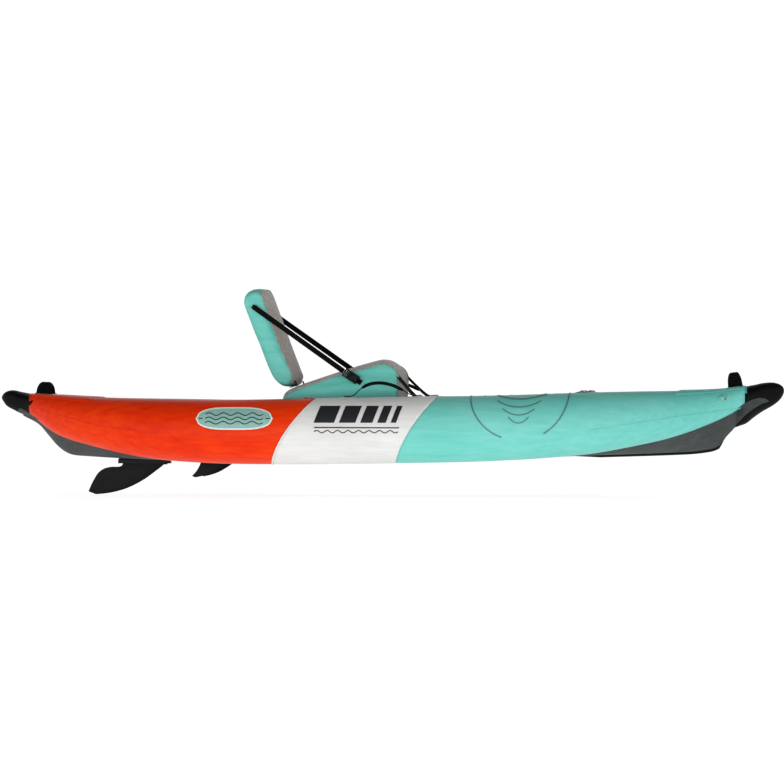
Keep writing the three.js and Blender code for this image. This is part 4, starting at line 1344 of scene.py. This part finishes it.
def hinge_tab(label, side):
    """Webbing hinge sewn to the seat's rear edge and the backrest's foot."""
    y = side * 0.125
    spots = [(-0.060, -0.0300), (-0.048, -0.0275), (-0.037, -0.0215), (-0.0340, -0.0150),
             (-0.0355, -0.0100), (-0.0385, -0.0050)]
    path = curve_through([Vector((HINGE.x + x, y, HINGE.z + z)) for x, z in spots], 0.003)
    ups = [forward.cross(Vector((0, 1, 0))).normalized() for forward in headings(path)]
    made = swept(f"{label}_hinge_tab", path, band(0.040, 0.0022), ups, WEBBING,
                 body=None)
    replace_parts(made, f"{label}_hinge_tab")
    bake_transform(made)


for label, side in SIDES:
    side_release_buckle(label, side)
    backrest_strap(label, side)
    tie_down(label, side)
    hinge_tab(label, side)


# Printed graphics ------------------------------------------------------------------------------
def outboard(side, x, z, lift):
    """Point on a tube's outboard skin at height z, lift proud of it."""
    share = max(-1.0, min(1.0, (z - tube_z(x)) / tube_radius(x)))
    return on_tube(side, x, math.degrees(math.asin(share)), lift)


PRINT_LIFT = 0.0022


def ink_film(name, grids, ink):
    """Thin ink film: each grid is rows of points on the skin."""
    points, faces = [], []
    for grid in grids:
        base = len(points)
        more, quads = loft(grid, closed_ends=False, closed_rings=False)
        points += more
        faces += [tuple(base + i for i in quad) for quad in quads]
    piece(name, points, faces, ink)


def print_shapes(name, shapes, ink, lift=PRINT_LIFT):
    """Shapes of rows of (x, z), printed on both outboard skins."""
    for label, side in SIDES:
        ink_film(f"{label}_{name}", [[[outboard(side, x, z, lift) for x, z in row]
                                      for row in rows] for rows in shapes], ink)


def slanted(x0, x1, z0, z1, lean, fine=10):
    """A slanted bar from z0 to z1, its top shifted by lean."""
    return [[(x0 + (x1 - x0) * i / fine + lean * k / fine, z0 + (z1 - z0) * k / fine)
             for i in range(fine + 1)] for k in range(fine + 1)]


def stroke(line, width):
    """A pen stroke of a width along a line of (x, z) points."""
    inner, outer = [], []
    for i, (x, z) in enumerate(line):
        before, after = line[max(i - 1, 0)], line[min(i + 1, len(line) - 1)]
        run = math.hypot(after[0] - before[0], after[1] - before[1])
        nx, nz = (before[1] - after[1]) / run, (after[0] - before[0]) / run
        inner.append((x - nx * width / 2, z - nz * width / 2))
        outer.append((x + nx * width / 2, z + nz * width / 2))
    return [inner, outer]


def wave_line(x0, x1, z, height, waves, count=48):
    return [(x0 + (x1 - x0) * i / count, z + height * math.sin(2 * math.pi * waves * i / count))
            for i in range(count + 1)]


def capsule(x0, x1, z0, z1, inset=0.0, fine=28):
    """A capsule with pointed-round ends, as rows from its foot to its top."""
    middle_x, middle_z = (x0 + x1) / 2, (z0 + z1) / 2
    half_x, half_z = (x1 - x0) / 2 - inset, (z1 - z0) / 2 - inset
    rows = []
    for k in range(13):
        level = -1 + 2 * k / 12
        row = []
        for i in range(fine + 1):
            u = -1 + 2 * i / fine
            row.append((middle_x + half_x * u,
                        middle_z + half_z * level * (1 - abs(u) ** 3.4) ** 0.5))
        rows.append(row)
    return rows


def graphics():
    # Slanted bars amidships with a thin rule and a wave under them
    bars, x = [], -0.246
    for wide in (0.078, 0.062, 0.046, 0.032, 0.020):
        bars.append(slanted(x, x + wide, 0.132, 0.195, 0.022))
        x += wide + 0.019
    bars.append(stroke([(-0.244, 0.114), (-0.12, 0.1135), (0.080, 0.113)], 0.0045))
    bars.append(stroke(wave_line(-0.244, 0.076, 0.0985, 0.0045, 8, 96), 0.0035))
    print_shapes("midship_bars", bars, INK_DARK)
    # Capsule badge aft: pale rim, teal field, dark waves
    badge = (-0.706, -0.404, 0.105, 0.190)
    print_shapes("aft_badge_rim", [capsule(*badge)], INK_PALE, 0.0016)
    print_shapes("aft_badge_field", [capsule(*badge, 0.0055)], INK_AQUA, 0.0021)
    pen, middle = 0.0034, 0.1475
    lines = [stroke(wave_line(-0.668, -0.442, z, 0.005, 4), pen) for z in (0.1315, middle, 0.1635)]
    lines += [stroke([(x, middle), (x + 0.016, middle)], pen) for x in (-0.694, -0.432)]
    print_shapes("aft_badge_waves", lines, INK_DARK, 0.0026)


def arc(centre, half_u, half_v, degrees, twist=1):
    """Points round a centre: half_u along it by the sine, half_v across it by the cosine."""
    turns = [math.radians(d) for d in degrees]
    return [(centre[0] + half_u * math.sin(a), centre[1] - half_v * math.cos(twist * a))
            for a in turns]


def shoulder_ring():
    """Printed ring over the bow shoulder with a fan of swell lines, wrapping the tube's top."""
    x0, z0, radius, lift = 0.530, 0.253, 0.187, 0.0019
    lines = [stroke(arc((0, 0), radius, radius, range(30, 341, 2)), 0.0046)]
    for k in range(4):
        reach = 0.105 - 0.022 * k
        swell = arc((0, -0.020 - 0.030 * k), reach, 0.012, range(-80, 81, 8), 2)
        lines.append(stroke(swell, 0.0038))

    def over_top(side, u, w):
        x = x0 + u
        share = max(-1.0, min(1.0, (z0 - abs(w) - tube_z(x)) / tube_radius(x)))
        angle = math.degrees(math.asin(share))
        return on_tube(side, x, 180 - angle if w > 0 else angle, lift)

    for label, side in SIDES:
        ink_film(f"{label}_shoulder_ring", [[[over_top(side, u, w) for u, w in row]
                                             for row in rows] for rows in lines], INK_SLATE)


graphics()
shoulder_ring()


# Welded seams ----------------------------------------------------------------------------------
def seam_tape(name, side, seam, finish, width):
    """Narrow welded tape along a slanting panel seam, right round the tube."""
    rows = []
    for offset, height in ((-0.5, 0.0004), (-0.42, 0.0015), (0.0, 0.0017), (0.42, 0.0015),
                           (0.5, 0.0004)):
        row = []
        for i in range(121):
            angle = 3 * i
            s = math.sin(math.radians(angle))
            x = seam["x"] + seam_shift(seam, s) + offset * width
            row.append(on_tube(side, x, angle, height))
        rows.append(row)
    lofted(name, rows, finish, closed=False)


def weld_line(name, side, spots, finish):
    """Fine raised weld along the tube's side: spots are (x, height)."""
    rows = []
    for offset, height in ((-0.0016, 0.0006), (0.0, 0.0019), (0.0016, 0.0006)):
        rows.append([outboard(side, x, interpolate(spots, x) + offset, height)
                     for x in spaced(spots[0][0], spots[-1][0], 0.012)])
    lofted(name, rows, finish, closed=False)


for label, side in SIDES:
    seam_tape(f"{label}_stern_seam", side, STERN_SEAM, WHITE, 0.007)
    weld_line(f"{label}_bow_weld", side, [(0.80, 0.104), (1.145, 0.158), (1.355, 0.186)], TEAL)
    weld_line(f"{label}_stern_weld", side, [(-1.36, 0.182), (-1.10, 0.118), (-0.86, 0.090)],
              ORANGE)


# Fins ------------------------------------------------------------------------------------------
def bezier(a, b, c, t):
    return tuple(a[k] * (1 - t) ** 2 + 2 * b[k] * t * (1 - t) + c[k] * t * t for k in (0, 1))


def edge_at(pieces, t):
    spot = min(t * len(pieces), len(pieces) - 1e-9)
    k = int(spot)
    return bezier(*pieces[k], spot - k)


def foil(name, origin, leading, trailing, thickness, body, node, tip_share=0.35):
    """Swept fin blade with a foil section: leading and trailing edges are curve pieces in mm."""
    rings = []
    for t in spaced(0, 1, 1 / 40):
        fore, aft = edge_at(leading, t), edge_at(trailing, t)
        thick = thickness * (1 - (1 - tip_share) * t**1.5)
        ring = []
        for side in (1, -1):
            for k in range(17):
                u = k / 16 if side > 0 else 1 - k / 16
                u = 0.5 - 0.5 * math.cos(math.pi * u)
                shape = 2.9 * math.sqrt(u) - 1.26 * u - 3.516 * u**2 + 2.843 * u**3 - 1.0 * u**4
                half = max(0.0005, thick / 2 * shape)
                if k in (0, 16):
                    half = 0.0004
                ring.append(Vector((
                    origin[0] + (fore[0] + (aft[0] - fore[0]) * u) / 1000, origin[1] + side * half,
                    origin[2] + (fore[1] + (aft[1] - fore[1]) * u) / 1000)))
        rings.append(ring)
    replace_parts(lofted(name, rings, FIN, body), node)


low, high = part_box("centre_fin")
origin = (high[0], 0.0, high[2])
foil("centre_fin", origin,
     [((-1, -4), (-14, -15), (-28, -26)), ((-28, -26), (-44, -38), (-60, -50)),
      ((-60, -50), (-106, -86), (-162, -108)), ((-162, -108), (-220, -129), (-283, -131))],
     [((-176, -3), (-176, -9), (-177, -14)), ((-177, -14), (-180, -24), (-200, -24)),
      ((-200, -24), (-262, -20), (-285, -65)), ((-285, -65), (-301, -92), (-311.5, -120))],
     0.0088, "centre_fin", "centre_fin")
blocks("centre_fin_base", [((-0.0875, 0, -0.0075), (0.174, 0.0088, 0.0145), 0.0016)],
       Matrix.Translation(origin), FIN, "centre_fin")

for label, side in SIDES:
    low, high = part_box(f"{label}_side_fin")
    origin = (high[0] - 0.061, (low[1] + high[1]) / 2, high[2])
    foil(f"{label}_side_fin", origin,
         [((52, -4), (34, -22), (0, -41)), ((0, -41), (-34, -60), (-76, -66))],
         [((-52, -3), (-58, -22), (-70, -40)), ((-70, -40), (-79, -52), (-88.5, -60))],
         0.0058, "hull", f"{label}_side_fin", 0.5)
    blocks(f"{label}_side_fin_foot", [
        ((0, 0, -0.0022), (0.120, 0.033, 0.0040), 0.0016),
        ((0, 0, -0.0050), (0.106, 0.012, 0.0060), 0.0022)],
        Matrix.Translation(origin), FIN)

low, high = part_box("fin_box")
fin_box = bpy.data.objects.get("fin_box")
for index in range(len(fin_box.data.materials)):
    fin_box.data.materials[index] = CLIP[0]
fairing = []
for x in spaced(low[0] + 0.002, high[0] + 0.004, 0.004):
    ease = min(1.0, 0.4 + (x - low[0]) / 0.012, 0.4 + (high[0] + 0.004 - x) / 0.012)
    top, foot = floor_bottom(x) + 0.003, high[2] - 0.0008
    fairing.append([Vector((x, y * ease, z)) for y, z in (
        (-0.036, top), (-0.035, foot + 0.003), (-0.030, foot + 0.0006), (-0.022, foot),
        (0.022, foot), (0.030, foot + 0.0006), (0.035, foot + 0.003), (0.036, top))])
lofted("fin_box_fairing", fairing, FIN_FAIRING)


# Stage and camera ------------------------------------------------------------------------------
CAMERA_DISTANCE = 20.0
CAMERA_AZIMUTH = math.radians(5.5)
CAMERA_HEIGHT = 0.249
FRAME_WIDTH = 3.0422
FRAME_OFFSET = 0.0070
FLOOR_LEVEL = CAD_BOX[0][2] - 0.004
# Brightness of the surround, of the floor by itself near the boat, and overhead
SURROUND, FLOOR_GLOW, CEILING = 0.86, 0.74, 0.16


def stage():
    """Pale painted floor that fades into the bright surround a few metres from the boat."""
    size = 400
    mesh = bpy.data.meshes.new("studio_floor")
    mesh.from_pydata([(-size, -size, 0), (size, -size, 0), (size, size, 0), (-size, size, 0)],
                     [], [(0, 1, 2, 3)])
    ground = bpy.data.objects.new("studio_floor", mesh)
    ground.location.z = FLOOR_LEVEL
    bpy.context.scene.collection.objects.link(ground)
    made, tree = blank("matt_studio_paint")
    place = add(tree, "ShaderNodeTexCoord").outputs["Object"]
    away = add(tree, "ShaderNodeVectorMath", {0: place}, operation="LENGTH").outputs["Value"]
    fade = add(tree, "ShaderNodeMapRange", {"Value": away, "From Min": 2.0, "From Max": 7.0},
               interpolation_type="SMOOTHSTEP").outputs[0]
    paint = add(tree, "ShaderNodeBsdfDiffuse", {"Color": srgb("#9c9c9b")})
    glow = add(tree, "ShaderNodeEmission", {"Color": srgb("#ffffff"), "Strength": SURROUND})
    bounce = add(tree, "ShaderNodeEmission", {"Color": srgb("#ffffff"), "Strength": FLOOR_GLOW})
    near = add(tree, "ShaderNodeAddShader", {0: paint.outputs[0], 1: bounce.outputs[0]})
    both = add(tree, "ShaderNodeMixShader", {0: fade, 1: near.outputs[0], 2: glow.outputs[0]})
    add(tree, "ShaderNodeOutputMaterial", {"Surface": both.outputs[0]})
    mesh.materials.append(made)


def soft_light(name, place, target, size, power):
    light = bpy.data.lights.new(name, "AREA")
    light.shape = "RECTANGLE"
    light.size, light.size_y = size
    light.energy = power
    made = bpy.data.objects.new(name, light)
    made.visible_camera = False
    made.location = place
    made.rotation_euler = (Vector(target) - Vector(place)).to_track_quat("-Z", "Y").to_euler()
    bpy.context.scene.collection.objects.link(made)


def distant_light(name, bearing, height, power, spread):
    light = bpy.data.lights.new(name, "SUN")
    light.energy = power
    light.angle = math.radians(spread)
    made = bpy.data.objects.new(name, light)
    a, b = math.radians(bearing), math.radians(height)
    toward = Vector((math.sin(a) * math.cos(b), -math.cos(a) * math.cos(b), math.sin(b)))
    made.rotation_euler = (-toward).to_track_quat("-Z", "Y").to_euler()
    bpy.context.scene.collection.objects.link(made)


def studio():
    """Bright low surround and a dimmer ceiling, with wide soft lights from the front and back."""
    world = bpy.data.worlds.new("studio")
    bpy.context.scene.world = world
    world.use_nodes = True
    tree = world.node_tree
    tree.nodes.clear()
    place = add(tree, "ShaderNodeTexCoord").outputs["Generated"]
    split = add(tree, "ShaderNodeSeparateXYZ", {"Vector": place})
    dim = add(tree, "ShaderNodeMapRange", {
        "Value": split.outputs["Z"], "From Min": 0.10, "From Max": 0.60, "To Min": SURROUND,
        "To Max": CEILING}, interpolation_type="SMOOTHSTEP").outputs[0]
    shade = add(tree, "ShaderNodeBackground", {"Color": srgb("#ffffff"), "Strength": dim})
    add(tree, "ShaderNodeOutputWorld", {"Surface": shade.outputs[0]})
    distant_light("front_light", 4, 4, 0.30, 30)
    distant_light("back_light", 190, 30, 0.25, 40)
    soft_light("low_strip", (0.0, -2.3, 0.02), (0.0, 0.0, 0.10), (5.0, 0.30), 14)


def camera():
    lens = bpy.data.cameras.new("view")
    lens.sensor_width = 36
    lens.lens = 36 * CAMERA_DISTANCE / FRAME_WIDTH
    lens.clip_end = 2000
    made = bpy.data.objects.new("view", lens)
    sine, cosine = math.sin(CAMERA_AZIMUTH), math.cos(CAMERA_AZIMUTH)
    made.location = (CAMERA_DISTANCE * sine + FRAME_OFFSET * cosine,
                     FRAME_OFFSET * sine - CAMERA_DISTANCE * cosine, CAMERA_HEIGHT)
    made.rotation_euler = (math.pi / 2, 0, CAMERA_AZIMUTH)
    bpy.context.scene.collection.objects.link(made)
    bpy.context.scene.camera = made
    bpy.context.scene.view_settings.view_transform = "Standard"
    bpy.context.scene.view_settings.look = "Medium High Contrast"


stage()
studio()
camera()
